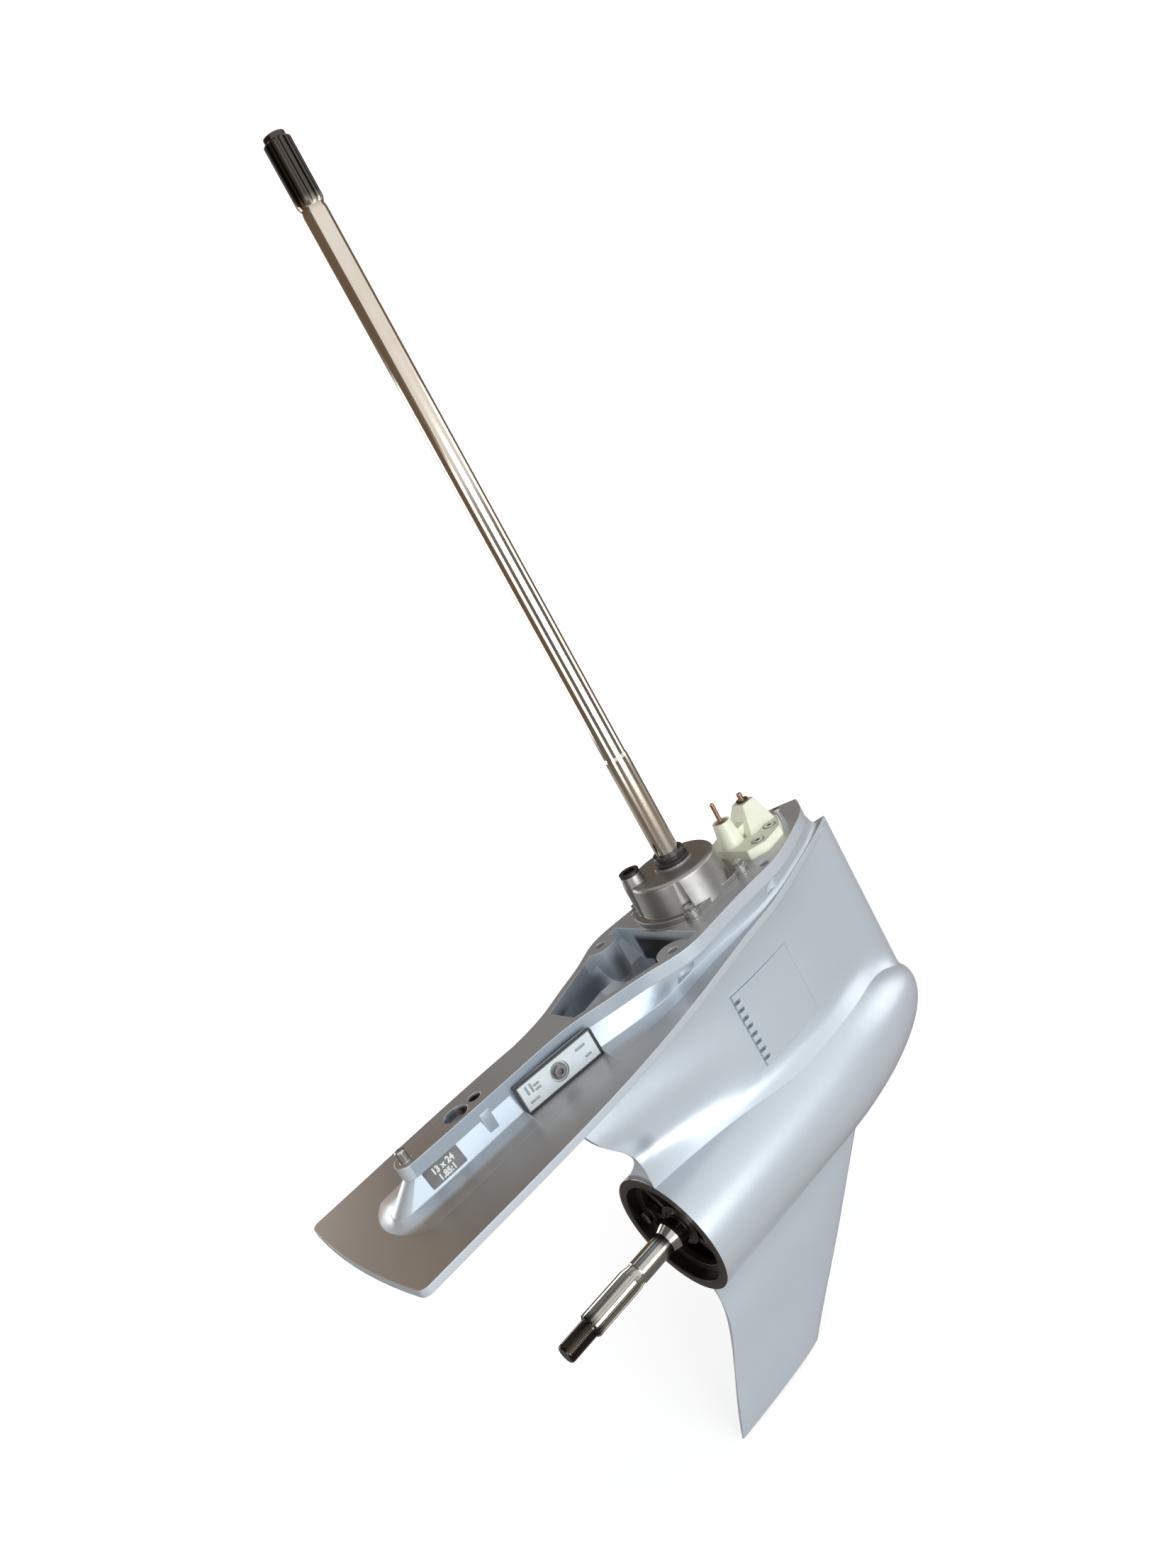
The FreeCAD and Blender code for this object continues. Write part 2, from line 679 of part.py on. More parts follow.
def chamber_cuts():
    """Gear chamber, bearing seats and the bores of both shafts and of the shift rod."""
    seat_front = WHEEL_BEARING_X + WHEEL_BEARING_WIDTH
    return [
        shaft_cylinder(CHAMBER_R, CARRIER_SEAT_REAR, CHAMBER_FRONT),
        shaft_cylinder(WHEEL_BEARING_R, CHAMBER_FRONT - 1, seat_front),
        shaft_cylinder(WHEEL_BEARING_R - 6.0, seat_front - 1, SLIDER_REAR + 0.5),
        shaft_cylinder(SLIDER_R + FREE_GAP, SLIDER_REAR, SLIDER_FRONT + CLUTCH_TRAVEL + 2.0),
        cylinder(PINION_R + 6.0, PROP_Z + 10.0, PROP_Z + PINION_BACK + 2.5),
        cylinder(DRIVE_TUNNEL_R, PROP_Z + PINION_BACK, 0),
        cylinder(NEEDLE_R, PROP_Z + NEEDLE_LOW, PROP_Z + NEEDLE_HIGH),
        cylinder(TOP_BEARING_R, TOP_BEARING_Z - TOP_BEARING_WIDTH, 0),
        cylinder(SEAL_HOUSING_R, TOP_BEARING_Z, 1),
        cylinder(SHIFT_ROD_R + FREE_GAP, PROP_Z, 1, SHIFT_X),
        cylinder(ROD_BUSH_R, -ROD_BUSH_T, 1, SHIFT_X),
        cylinder(SLIDER_R, PROP_Z, PROP_Z + 16.0, SHIFT_X, 0),
    ]


def deck_cuts():
    """Holes of the deck: bolts, dowels and the anode tab's bolt."""
    cuts = []
    for x in (BOLT_REAR_X, BOLT_FRONT_X):
        for y in (BOLT_Y, -BOLT_Y):
            cuts.append(cylinder(BOLT_HOLE_R, -RIM_DEPTH - 6, 1, x, y))
            cuts.append(cylinder(BOLT_POCKET_R, PLATE_TOP + 5.0, -RIM_DEPTH - 5, x, y))
    cuts.append(cylinder(DOWEL_SEAT_R, -DOWEL_DEPTH, 1, REAR_DOWEL_X))
    cuts.append(cylinder(DOWEL_SEAT_R, -DOWEL_DEPTH, 1, FRONT_DOWEL[0], FRONT_DOWEL[1]))
    cuts.append(cylinder(TAB_BOLT_R, PLATE_UNDER - 1, 1, TAB_BOLT_X))
    cuts.append(cylinder(TAB_COUNTERBORE_R, -TAB_COUNTERBORE_DEPTH, 1, TAB_BOLT_X))
    cuts.append(cylinder(TAB_SIDE_HOLE_R, -TAB_SIDE_HOLE_DEPTH, 1, TAB_SIDE_HOLE_X))
    for x, y in BRACKET_SCREWS:
        cuts.append(cylinder(SCREW_R, -BRACKET_SCREW_DEPTH, 1, x, y))
    for x in (PUMP_BOLT[0], -PUMP_BOLT[0]):
        for y in (PUMP_BOLT[1], -PUMP_BOLT[1]):
            cuts.append(cylinder(PUMP_BOLT_R, -PUMP_BOLT_DEPTH, 1, x, y))
    return cuts


def anode_place(shape, side):
    """Put a shape made at the middle of an anode on its side of the wall. Side is 1 for port."""
    placed = shape.copy()
    placed.rotate(V(0, 0, 0), Z_AXIS, ANODE_TURN_DEG)
    placed.translate(V(ANODE_X, ANODE_Y, ANODE_Z))
    if side < 0:
        placed = mirrored(placed)
    return placed


def anode_block(gap, inner, outer):
    """Block as long and high as the anode, with a gap all round it."""
    half_l = ANODE_LENGTH / 2 + gap
    half_h = ANODE_HEIGHT / 2 + gap
    return box((-half_l, inner, -half_h), (half_l, outer, half_h))


def intake_cuts():
    """Seats of the intake covers, the water chamber behind them and its way up to the pump."""
    seat = box((COVER_REAR - COVER_GAP, COVER_SEAT, COVER_LOW - COVER_GAP),
               (COVER_FRONT + COVER_GAP, OUTSIDE_Y, COVER_HIGH + COVER_GAP))
    inner = DRIVE_TUNNEL_R + CHAMBER_WALL
    chamber = box((COVER_REAR + 5, inner, COVER_LOW + 5),
                  (COVER_FRONT - 8, COVER_SEAT + 1, COVER_HIGH - 5))
    riser = cylinder(RISER_R, COVER_HIGH - 20, 1, RISER[0], RISER[1])
    screw = side_cylinder(SCREW_R, COVER_SCREW_X, COVER_SCREW_Z, COVER_SCREW_END, COVER_SEAT + 1)
    cuts = []
    for shape in (seat, chamber, screw):
        cuts.append(shape)
        cuts.append(mirrored(shape))
    cuts.append(riser)
    return cuts


def outer_form():
    """Whole casting before anything is cut out of it."""
    blade = strut()
    blade = blade.cut(box((TORPEDO_REAR - 40, -60, PROP_Z - 60), (TORPEDO_REAR, 60, PROP_Z + TORPEDO_R)))
    return fused([torpedo(), blade, skeg(), plate(), sweep(), wall(), rim()])


def gearcase_housing(form):
    """One casting: deck, plate, strut, torpedo and skeg."""
    cuts = exhaust_cuts() + chamber_cuts() + deck_cuts() + intake_cuts()
    for side in (1, -1):
        cuts.append(anode_place(anode_block(ANODE_GAP, -ANODE_T / 2, 30), side))
        cuts.append(anode_place(side_cylinder(SCREW_R, 0, 0, -ANODE_BOLT_END, 0), side))
    for x, z in OIL_PLUGS:
        cuts.append(side_cylinder(PLUG_SHANK_R, x, z, PLUG_INNER_Y - 2.0, 70.0))
        cuts.append(side_cylinder(PLUG_WASHER_R + 0.5, x, z, plug_face_y(form, x, z), 70.0))
    for y in (CARRIER_BOLT_Y, -CARRIER_BOLT_Y):
        end = RIM_STEP + CARRIER_BOLT_LENGTH + 1.0
        cuts.append(shaft_cylinder(CARRIER_BOLT_R, RIM_STEP - 1.0, end, y=y))
    return form.cut(cuts)


# Gears

def tooth_flank(teeth, other_teeth):
    """Points (radius, angle) of one flank, seen in the plane through the outer pitch circle.

    The teeth are drawn on the back cone, as for a spur gear of the same pitch, and carried to the plane
    along the lines through the crossing of the shafts.
    """
    cone = math.atan2(teeth, other_teeth)
    pitch_r = MODULE * teeth / 2
    virtual_r = pitch_r / math.cos(cone)
    pressure = math.radians(PRESSURE_DEG)
    base_r = virtual_r * math.cos(pressure)
    apex = pitch_r / math.tan(cone) + pitch_r * math.tan(cone)
    half_angle = (math.pi * MODULE / 2 - BACKLASH / 2) / 2 / virtual_r
    flank = []
    for step in (-DEDENDUM, -0.45 * DEDENDUM, 0.0, 0.5 * ADDENDUM, ADDENDUM):
        slant = virtual_r + step
        turn = math.acos(base_r / slant) if slant > base_r else 0.0
        angle = half_angle + (math.tan(pressure) - pressure) - (math.tan(turn) - turn)
        axial = apex - slant * math.sin(cone)
        scale = pitch_r / math.tan(cone) / axial
        flank.append((slant * math.cos(cone) * scale, angle / math.cos(cone)))
    return flank


def toothed_cone(teeth, other_teeth, first_tooth_deg):
    """Cone with all its teeth, running past both ends of the face width."""
    cone = math.atan2(teeth, other_teeth)
    plane = MODULE * teeth / 2 / math.tan(cone)
    flank = tooth_flank(teeth, other_teeth)
    outline = []
    for k in range(teeth):
        middle = math.radians(first_tooth_deg) + 2 * math.pi * k / teeth
        for radius, angle in flank:
            outline.append((radius, middle - angle))
        for radius, angle in reversed(flank):
            outline.append((radius, middle + angle))
    wires = []
    for share in (0.5, 1.3):
        corners = [V(r * share * math.cos(a), r * share * math.sin(a), plane * share) for r, a in outline]
        wires.append(Part.makePolygon(corners + corners[:1]))
    return Part.makeLoft(wires, True, True)


def tooth_zone(teeth, other_teeth):
    """Ring that the teeth lie in, bounded by the two end cones."""
    cone = math.atan2(teeth, other_teeth)
    pitch_r = MODULE * teeth / 2
    axial = pitch_r / math.tan(cone)
    outer = (pitch_r + ADDENDUM * math.cos(cone), axial - ADDENDUM * math.sin(cone))
    under = DEDENDUM + 2.0
    root = (pitch_r - under * math.cos(cone), axial + under * math.sin(cone))
    inner_root = (root[0] * FACE_SHARE, root[1] * FACE_SHARE)
    inner_tip = (outer[0] * FACE_SHARE, outer[1] * FACE_SHARE)
    return turned([outer, root, inner_root, inner_tip])


def under_root(teeth, other_teeth, share, depth):
    """Point under the tooth roots at a share of the cone distance."""
    cone = math.atan2(teeth, other_teeth)
    pitch_r = MODULE * teeth / 2
    r = (pitch_r - depth * math.cos(cone)) * share
    return r, (pitch_r / math.tan(cone) + depth * math.sin(cone)) * share


def bevel_wheel(first_tooth_deg):
    """Driven bevel gear about +Z with its apex at the origin: teeth, dog pockets and hub."""
    toe = under_root(WHEEL_TEETH, PINION_TEETH, FACE_SHARE, DEDENDUM)
    heel = under_root(WHEEL_TEETH, PINION_TEETH, 1.0, DEDENDUM)
    shoulder_r = WHEEL_HUB_R + 4.0
    shoulder_x = WHEEL_BACK_X + 0.6
    body = turned([(WHEEL_BORE_R, WHEEL_FACE_X), (toe[0] - 3.0, WHEEL_FACE_X), toe, heel,
                   (heel[0] - 2.0, WHEEL_BACK_X - 2.0), (heel[0] - 5.0, WHEEL_BACK_X),
                   (shoulder_r, WHEEL_BACK_X), (shoulder_r, shoulder_x), (WHEEL_HUB_R, shoulder_x),
                   (WHEEL_HUB_R, HUB_END_X), (WHEEL_BORE_R, HUB_END_X)])
    teeth = toothed_cone(WHEEL_TEETH, PINION_TEETH, first_tooth_deg)
    teeth = teeth.common(tooth_zone(WHEEL_TEETH, PINION_TEETH))
    wheel = body.fuse(teeth).removeSplitter()
    pockets = []
    for k in range(DOG_COUNT):
        pockets.append(dog(WHEEL_FACE_X - 1, WHEEL_FACE_X + DOG_POCKET, DOG_PITCH_DEG * k,
                           DOG_PITCH_DEG - DOG_DEG, DOG_INNER_R - 0.5, CLUTCH_R + 0.5))
    return wheel.cut(pockets)


def dog(low, high, middle_deg, width_deg, inner, outer):
    """Sector block of the dog clutch about +Z."""
    sector = Part.makeCylinder(outer, high - low, V(0, 0, low), Z_AXIS, width_deg)
    sector.rotate(V(0, 0, 0), Z_AXIS, middle_deg - width_deg / 2)
    return sector.cut(cylinder(inner, low - 1, high + 1))


def pinion_gear():
    """Driving bevel gear under the drive shaft, teeth down."""
    toe = under_root(PINION_TEETH, WHEEL_TEETH, FACE_SHARE, DEDENDUM)
    heel = under_root(PINION_TEETH, WHEEL_TEETH, 1.0, DEDENDUM)
    body = turned([(PINION_BORE_R, PINION_TOE), (toe[0] - 1.0, PINION_TOE), toe, heel,
                   (heel[0], PINION_BACK - 2.0), (heel[0] - 2.0, PINION_BACK), (PINION_BORE_R, PINION_BACK)])
    teeth = toothed_cone(PINION_TEETH, WHEEL_TEETH, 0.0).common(tooth_zone(PINION_TEETH, WHEEL_TEETH))
    pinion = body.fuse(teeth).removeSplitter()
    pinion = pinion.cut(cylinder(PINION_BORE_R, 0, 100))
    pinion.translate(V(0, 0, PROP_Z))
    return pinion


def pinion_nut():
    nut = hexagon(PINION_NUT_ACROSS, PROP_Z + PINION_NUT_FOOT, PROP_Z + PINION_TOE)
    return nut.cut(cylinder(PINION_NUT_BORE_R, PROP_Z, PROP_Z + PINION_TOE + 1))


# Bearings

def roller_bearing(bore, outer, width, count, low):
    """Tapered roller bearing about +Z, its narrow end up: cup, and cone with its rollers."""
    middle = (bore + outer) / 2
    slope = 0.12 * width
    roller_r = (outer - bore) * 0.17
    inner = middle - roller_r - ROLLER_GAP
    rim_r = middle + roller_r + ROLLER_GAP
    high = low + width
    cup = turned([(rim_r + slope / 2, low + 1), (outer, low + 1), (outer, high), (rim_r - slope / 2, high)])
    cone = turned([(bore, low), (inner + slope / 2, low), (inner - slope / 2, high - 1), (bore, high - 1)])
    tilt = -math.degrees(math.atan2(slope, width))
    rollers = []
    for k in range(count):
        foot = V(middle, 0, low + width * 0.18)
        roller = Part.makeCone(roller_r, roller_r * 0.9, width * 0.66, foot, Z_AXIS)
        roller.rotate(V(middle, 0, low + width / 2), Y_AXIS, tilt)
        roller.rotate(V(0, 0, 0), Z_AXIS, 360.0 * k / count)
        rollers.append(roller)
    return cup, group([cone] + rollers)


def ball_bearing(bore, outer, width, count, low):
    """Ball bearing about +Z: outer ring, inner ring and balls."""
    middle = (bore + outer) / 2
    ball_r = (outer - bore) * 0.28
    half_way = low + width / 2
    groove = Part.makeTorus(middle, ball_r + ROLLER_GAP, V(0, 0, half_way), Z_AXIS)
    outer_ring = ring(outer, middle + ball_r * 0.55, low, low + width).cut(groove)
    inner_ring = ring(middle - ball_r * 0.55, bore, low, low + width).cut(groove)
    balls = []
    for k in range(count):
        angle = 2 * math.pi * k / count
        place = V(middle * math.cos(angle), middle * math.sin(angle), half_way)
        balls.append(Part.makeSphere(ball_r, place))
    return outer_ring, group([inner_ring] + balls)


# Shafts

def drive_shaft():
    """Long shaft from the engine to the pinion, splined at its top end."""
    spline_low = DRIVE_TOP - DRIVE_SPLINE_LENGTH
    spline_high = DRIVE_TOP - DRIVE_PILOT_LENGTH
    root = DRIVE_SPLINE_ROOT - 0.2
    tip = DRIVE_SPLINE_R + 0.1
    foot = PROP_Z + PINION_NUT_FOOT + 0.8
    toe = PROP_Z + PINION_TOE
    shoulder = PROP_Z + PINION_BACK
    core = turned([(0, foot), (PINION_NUT_BORE_R, foot), (PINION_NUT_BORE_R, toe), (PINION_BORE_R, toe),
                   (PINION_BORE_R, shoulder), (DRIVE_LOWER_R, shoulder), (DRIVE_LOWER_R, DRIVE_STEP_Z),
                   (DRIVE_R, DRIVE_STEP_Z + 3), (DRIVE_R, spline_low - 4), (root, spline_low - 1),
                   (root, spline_high), (DRIVE_PILOT_R, spline_high), (DRIVE_PILOT_R, DRIVE_TOP - 0.8),
                   (DRIVE_PILOT_R - 0.8, DRIVE_TOP), (0, DRIVE_TOP)])
    teeth = splined(DRIVE_TEETH, DRIVE_SPLINE_R, DRIVE_SPLINE_ROOT, spline_low, spline_high)
    chamfer = turned([(0, spline_low - 1), (DRIVE_SPLINE_ROOT, spline_low - 1), (tip, spline_low + 3),
                      (tip, spline_high - 1.5), (root, spline_high), (0, spline_high)])
    shaft = core.fuse(teeth.common(chamfer)).removeSplitter()
    return shaft.cut(key_seat())


def key_seat():
    """Half-round seat of the impeller key in the drive shaft."""
    return Part.makeCylinder(KEY_R, KEY_W, V(KEY_X, -KEY_W / 2, KEY_Z), Y_AXIS)


def impeller_key():
    """Half-round key between drive shaft and impeller."""
    width = KEY_W - 2 * KEY_GAP
    disc = Part.makeCylinder(KEY_R - KEY_GAP, width, V(KEY_X, -width / 2, KEY_Z), Y_AXIS)
    return disc.common(box((0, -KEY_W, KEY_Z - KEY_R - 1), (KEY_X + 1.0, KEY_W, KEY_Z + KEY_R + 1)))


def prop_shaft():
    """Propeller shaft: thread, spline, shoulder, clutch spline and hollow front stub."""
    thread_front = PROP_END + PROP_THREAD_LENGTH
    root = PROP_SPLINE_ROOT - 0.2
    tip = PROP_SPLINE_R + 0.1
    collar_r = PROP_BODY_R + 1.0
    core = turned([(0, PROP_END), (PROP_THREAD_R - PROP_LEAD, PROP_END),
                   (PROP_THREAD_R, PROP_END + PROP_LEAD), (PROP_THREAD_R, thread_front),
                   (root, thread_front), (root, PROP_SPLINE_FRONT),
                   (PROP_PLAIN_R, PROP_SPLINE_FRONT + 1), (PROP_PLAIN_R, PROP_SHOULDER_X),
                   (collar_r, PROP_SHOULDER_X + 7), (collar_r, PROP_SHOULDER_X + 16),
                   (PROP_BODY_R, PROP_SHOULDER_X + 17), (PROP_BODY_R, PROP_STUB_X),
                   (PROP_STUB_R, PROP_STUB_X), (PROP_STUB_R, PROP_FRONT), (0, PROP_FRONT)])
    teeth = splined(PROP_TEETH, PROP_SPLINE_R, PROP_SPLINE_ROOT, thread_front, PROP_SPLINE_FRONT)
    ends = turned([(0, thread_front), (root, thread_front), (tip, thread_front + 1.5),
                   (tip, PROP_SPLINE_FRONT - 9), (root + 0.1, PROP_SPLINE_FRONT), (0, PROP_SPLINE_FRONT)])
    clutch_seat = splined(CLUTCH_TEETH, CLUTCH_SPLINE_R, PROP_BODY_R - 0.3, -PROP_STUB_X, PROP_STUB_X)
    shaft = fused([core, teeth.common(ends), clutch_seat])
    bore = cylinder(PLUNGER_R + RUN_FIT, -12.0 - CLUTCH_TRAVEL, PROP_FRONT + 1)
    reach = CLUTCH_PIN_R + CLUTCH_TRAVEL + FREE_GAP
    width = CLUTCH_PIN_R + RUN_FIT
    slot = box((-20, -width, -reach), (20, width, reach))
    cotter = Part.makeCylinder(COTTER_R, 40, V(0, -20, PROP_END + COTTER_INSET), Y_AXIS)
    return lay_along_shaft(shaft.cut([bore, slot, cotter]))


def dog_clutch():
    """Sliding clutch with dogs at both ends, splined to the propeller shaft."""
    blank = cylinder(CLUTCH_R, -CLUTCH_BODY, CLUTCH_BODY)
    hole = splined(CLUTCH_TEETH, CLUTCH_SPLINE_R + RUN_FIT, PROP_BODY_R - 0.3 + RUN_FIT, -30, 30)
    hole = hole.fuse(cylinder(PROP_BODY_R + RUN_FIT, -30, 30))
    groove = ring(CLUTCH_R + 1, CLUTCH_R - WIRE_GROOVE, -WIRE_GROOVE, WIRE_GROOVE)
    pin_hole = Part.makeCylinder(CLUTCH_PIN_R + RUN_FIT, 60, V(-30, 0, 0), X_AXIS)
    body = blank.cut([hole, groove, pin_hole])
    foot = CLUTCH_BODY - 0.5
    top = CLUTCH_BODY + DOG_HEIGHT
    dogs = []
    for k in range(DOG_COUNT):
        for low, high in ((foot, top), (-top, -foot)):
            dogs.append(dog(low, high, DOG_PITCH_DEG * k, DOG_DEG, DOG_INNER_R, CLUTCH_R))
    return lay_along_shaft(fused([body] + dogs))


def clutch_pin():
    """Cross pin through clutch, slot and plunger."""
    reach = CLUTCH_R - 1.5
    return lay_along_shaft(Part.makeCylinder(CLUTCH_PIN_R, 2 * reach, V(-reach, 0, 0), X_AXIS))


def clutch_pin_ring():
    """Wire ring in the clutch's groove that keeps the pin in."""
    return lay_along_shaft(Part.makeTorus(CLUTCH_R - 0.2, WIRE_R, V(0, 0, 0), Z_AXIS))


def shift_plunger():
    """Rod inside the propeller shaft, with a button head that the slider holds."""
    rod = cylinder(PLUNGER_R, -10.0, PLUNGER_HEAD_X)
    head = cylinder(PLUNGER_HEAD_R, PLUNGER_HEAD_X, PLUNGER_HEAD_X + PLUNGER_HEAD_T)
    return lay_along_shaft(rod.fuse(head).cut(Part.makeCylinder(CLUTCH_PIN_R, 20, V(-10, 0, 0), X_AXIS)))


def shift_slider():
    """Block that the crank moves along the shaft, with a hooked seat for the plunger's head."""
    body = shaft_cylinder(SLIDER_R, SLIDER_REAR, SLIDER_FRONT)
    flat = box((SLIDER_REAR - 1, -20, PROP_Z + SLIDER_FLAT), (SLIDER_FRONT - 3.0, 20, PROP_Z + 20))
    half = CRANK_PIN_R + CRANK_GAP
    slot_inner = CRANK_THROW * math.cos(math.radians(SHIFT_SWING_DEG)) - CRANK_PIN_R - FREE_GAP
    slot = box((SHIFT_X - half, slot_inner, PROP_Z - 1.5), (SHIFT_X + half, 14.0, PROP_Z + 10))
    gap_r = PLUNGER_R + FREE_GAP
    neck = box((SLIDER_REAR - 1, -gap_r, PROP_Z - 20), (PLUNGER_HEAD_X, gap_r, PROP_Z)).fuse(
        shaft_cylinder(gap_r, SLIDER_REAR - 1, PLUNGER_HEAD_X))
    seat_r = PLUNGER_HEAD_R + FREE_GAP
    seat_rear = PLUNGER_HEAD_X - FREE_GAP
    seat_front = PLUNGER_HEAD_X + PLUNGER_HEAD_T + FREE_GAP
    seat = box((seat_rear, -seat_r, PROP_Z - 20), (seat_front, seat_r, PROP_Z)).fuse(
        shaft_cylinder(seat_r, seat_rear, seat_front))
    return body.cut([flat, slot, neck, seat])


def shift_cam():
    """Crank on the foot of the shift rod, with the pin that moves the slider."""
    low = PROP_Z + SLIDER_FLAT + FREE_GAP
    arm_high = low + CRANK_T
    arm = cylinder(CRANK_HUB_R, low, arm_high, SHIFT_X, 0).fuse(
        cylinder(CRANK_PIN_R + 1.0, low, arm_high, SHIFT_X, CRANK_THROW))
    link = box((SHIFT_X - CRANK_HUB_R / 2, 0, low), (SHIFT_X + CRANK_HUB_R / 2, CRANK_THROW, arm_high))
    pin = cylinder(CRANK_PIN_R, PROP_Z - 1.0, low + 1, SHIFT_X, CRANK_THROW)
    return fused([arm, link, pin]).cut(cylinder(SHIFT_ROD_R, low + 2.0, arm_high + 1, SHIFT_X))


def shift_rod():
    """Rod from the crank up to the bracket's cup, with a thin end for the linkage."""
    foot = PROP_Z + SLIDER_FLAT + FREE_GAP + 2.0
    rod = turned([(0, foot), (SHIFT_ROD_R, foot), (SHIFT_ROD_R, SHIFT_ROD_NECK), (SHIFT_PIN_R, SHIFT_ROD_NECK),
                  (SHIFT_PIN_R, SHIFT_ROD_TOP - 0.6), (SHIFT_PIN_R - 0.6, SHIFT_ROD_TOP), (0, SHIFT_ROD_TOP)])
    rod.translate(V(SHIFT_X, 0, 0))
    return rod


# Bearing carrier

def bearing_carrier():
    """Casting in the torpedo's rear: bearing cup, hub round the shaft, webs and rear ring."""
    seat_r = CHAMBER_R - RUN_FIT
    cup_front = -REVERSE_BEARING_X
    ring_r = EXHAUST_BORE_R + CARRIER_RING_PROUD
    bearing_floor = cup_front - REVERSE_BEARING_WIDTH
    hub_rear = RIM_STEP - CARRIER_FLANGE_T
    hole_r = PROP_BODY_R + 1.5
    outside = [(REVERSE_BEARING_R, cup_front), (seat_r, cup_front), (seat_r, CARRIER_SEAT_REAR + 8)]
    outside += list(CARRIER_CONE) + [(CARRIER_HUB_R, hub_rear)]
    inside = [(PROP_SEAL_R, hub_rear), (PROP_SEAL_R, PROP_SEAL_X), (hole_r, PROP_SEAL_X),
              (hole_r, PROP_NEEDLE_REAR), (PROP_NEEDLE_R, PROP_NEEDLE_REAR),
              (PROP_NEEDLE_R, PROP_NEEDLE_FRONT), (hole_r, PROP_NEEDLE_FRONT), (hole_r, -66.0),
              (WHEEL_HUB_R + 2.0, -62.0), (WHEEL_HUB_R + 2.0, bearing_floor),
              (REVERSE_BEARING_R, bearing_floor)]
    body = turned(outside + inside)
    rear = RIM_STEP - CARRIER_FLANGE_T
    flange = ring(ring_r, CHAMBER_R - 3.0, rear, RIM_STEP)
    hub = cylinder(WEB_ROOT_R, rear - 10, RIM_STEP + 20)
    webs = []
    for k in range(4):
        web = box((WEB_ROOT_R, -WEB_HALF, rear + 2), (CHAMBER_R - 2.0, WEB_HALF, RIM_STEP + WEB_DEPTH))
        web.rotate(V(0, 0, 0), Z_AXIS, 45 + 90 * k)
        webs.append(web)
    ears = []
    for y in (CARRIER_BOLT_Y, -CARRIER_BOLT_Y):
        ear = cylinder(CARRIER_EAR_R, rear, RIM_STEP, 0, y)
        ears.append(ear.common(cylinder(ring_r, rear - 1, RIM_STEP + 1)))
        reach = y - math.copysign(CARRIER_EAR_R - 1.5, y)
        arm = box((-WEB_HALF, min(reach, 0), rear + 2), (WEB_HALF, max(reach, 0), RIM_STEP))
        ears.append(arm.cut(hub))
    carrier = fused([body, flange] + webs + ears)
    groove = ring(seat_r + 1, seat_r - O_RING_DEPTH, CARRIER_O_RING_X, CARRIER_O_RING_X + O_RING_WIDTH)
    holes = [cylinder(CARRIER_BOLT_R + SCREW_GAP, rear - 2, RIM_STEP + 1, 0, y)
             for y in (CARRIER_BOLT_Y, -CARRIER_BOLT_Y)]
    return lay_along_shaft(carrier.cut([groove] + holes))


def carrier_o_ring():
    outer = CHAMBER_R - RUN_FIT
    return shaft_ring(outer, outer - O_RING_DEPTH, CARRIER_O_RING_X, CARRIER_O_RING_X + O_RING_WIDTH)


def carrier_bolts():
    seat = RIM_STEP - CARRIER_FLANGE_T
    bolts = []
    for y in (CARRIER_BOLT_Y, -CARRIER_BOLT_Y):
        shank = cylinder(CARRIER_BOLT_R, seat, RIM_STEP + CARRIER_BOLT_LENGTH, 0, y)
        head = hexagon(CARRIER_BOLT_ACROSS, seat - CARRIER_BOLT_HEAD, seat, 0, y)
        bolts.append(lay_along_shaft(shank.fuse(head)))
    return group(bolts)


# Water pump

def pump_outline(low, high):
    """Flange outline of the pump: a disc with straight sides and four bolt ears."""
    disc = cylinder(PUMP_FLANGE_R, low, high, PUMP_X).common(
        box((-80, -PUMP_FLANGE_HALF, low - 1), (80, PUMP_FLANGE_HALF, high + 1)))
    return fused([disc] + at_pump_bolts(PUMP_EAR_R, low, high))


def at_pump_bolts(radius, low, high):
    """Four upright cylinders on the pump's bolts."""
    return [cylinder(radius, low, high, x, y)
            for x in (PUMP_BOLT[0], -PUMP_BOLT[0]) for y in (PUMP_BOLT[1], -PUMP_BOLT[1])]


def pump_base_plate():
    holes = at_pump_bolts(PUMP_BOLT_R + SCREW_GAP, -1, PLATE_T + 1)
    holes.append(cylinder(DRIVE_LOWER_R + 1.5, -1, PLATE_T + 1))
    holes.append(cylinder(INLET_R, -1, PLATE_T + 1, INLET[0], INLET[1]))
    return pump_outline(0, PLATE_T).cut(holes)


def pump_gasket():
    low = PLATE_T
    holes = at_pump_bolts(PUMP_BOLT_R + SCREW_GAP, low - 1, low + 2)
    holes.append(cylinder(CUP_R + 1.0, low - 1, low + 2))
    return pump_outline(low, low + GASKET_T).cut(holes)


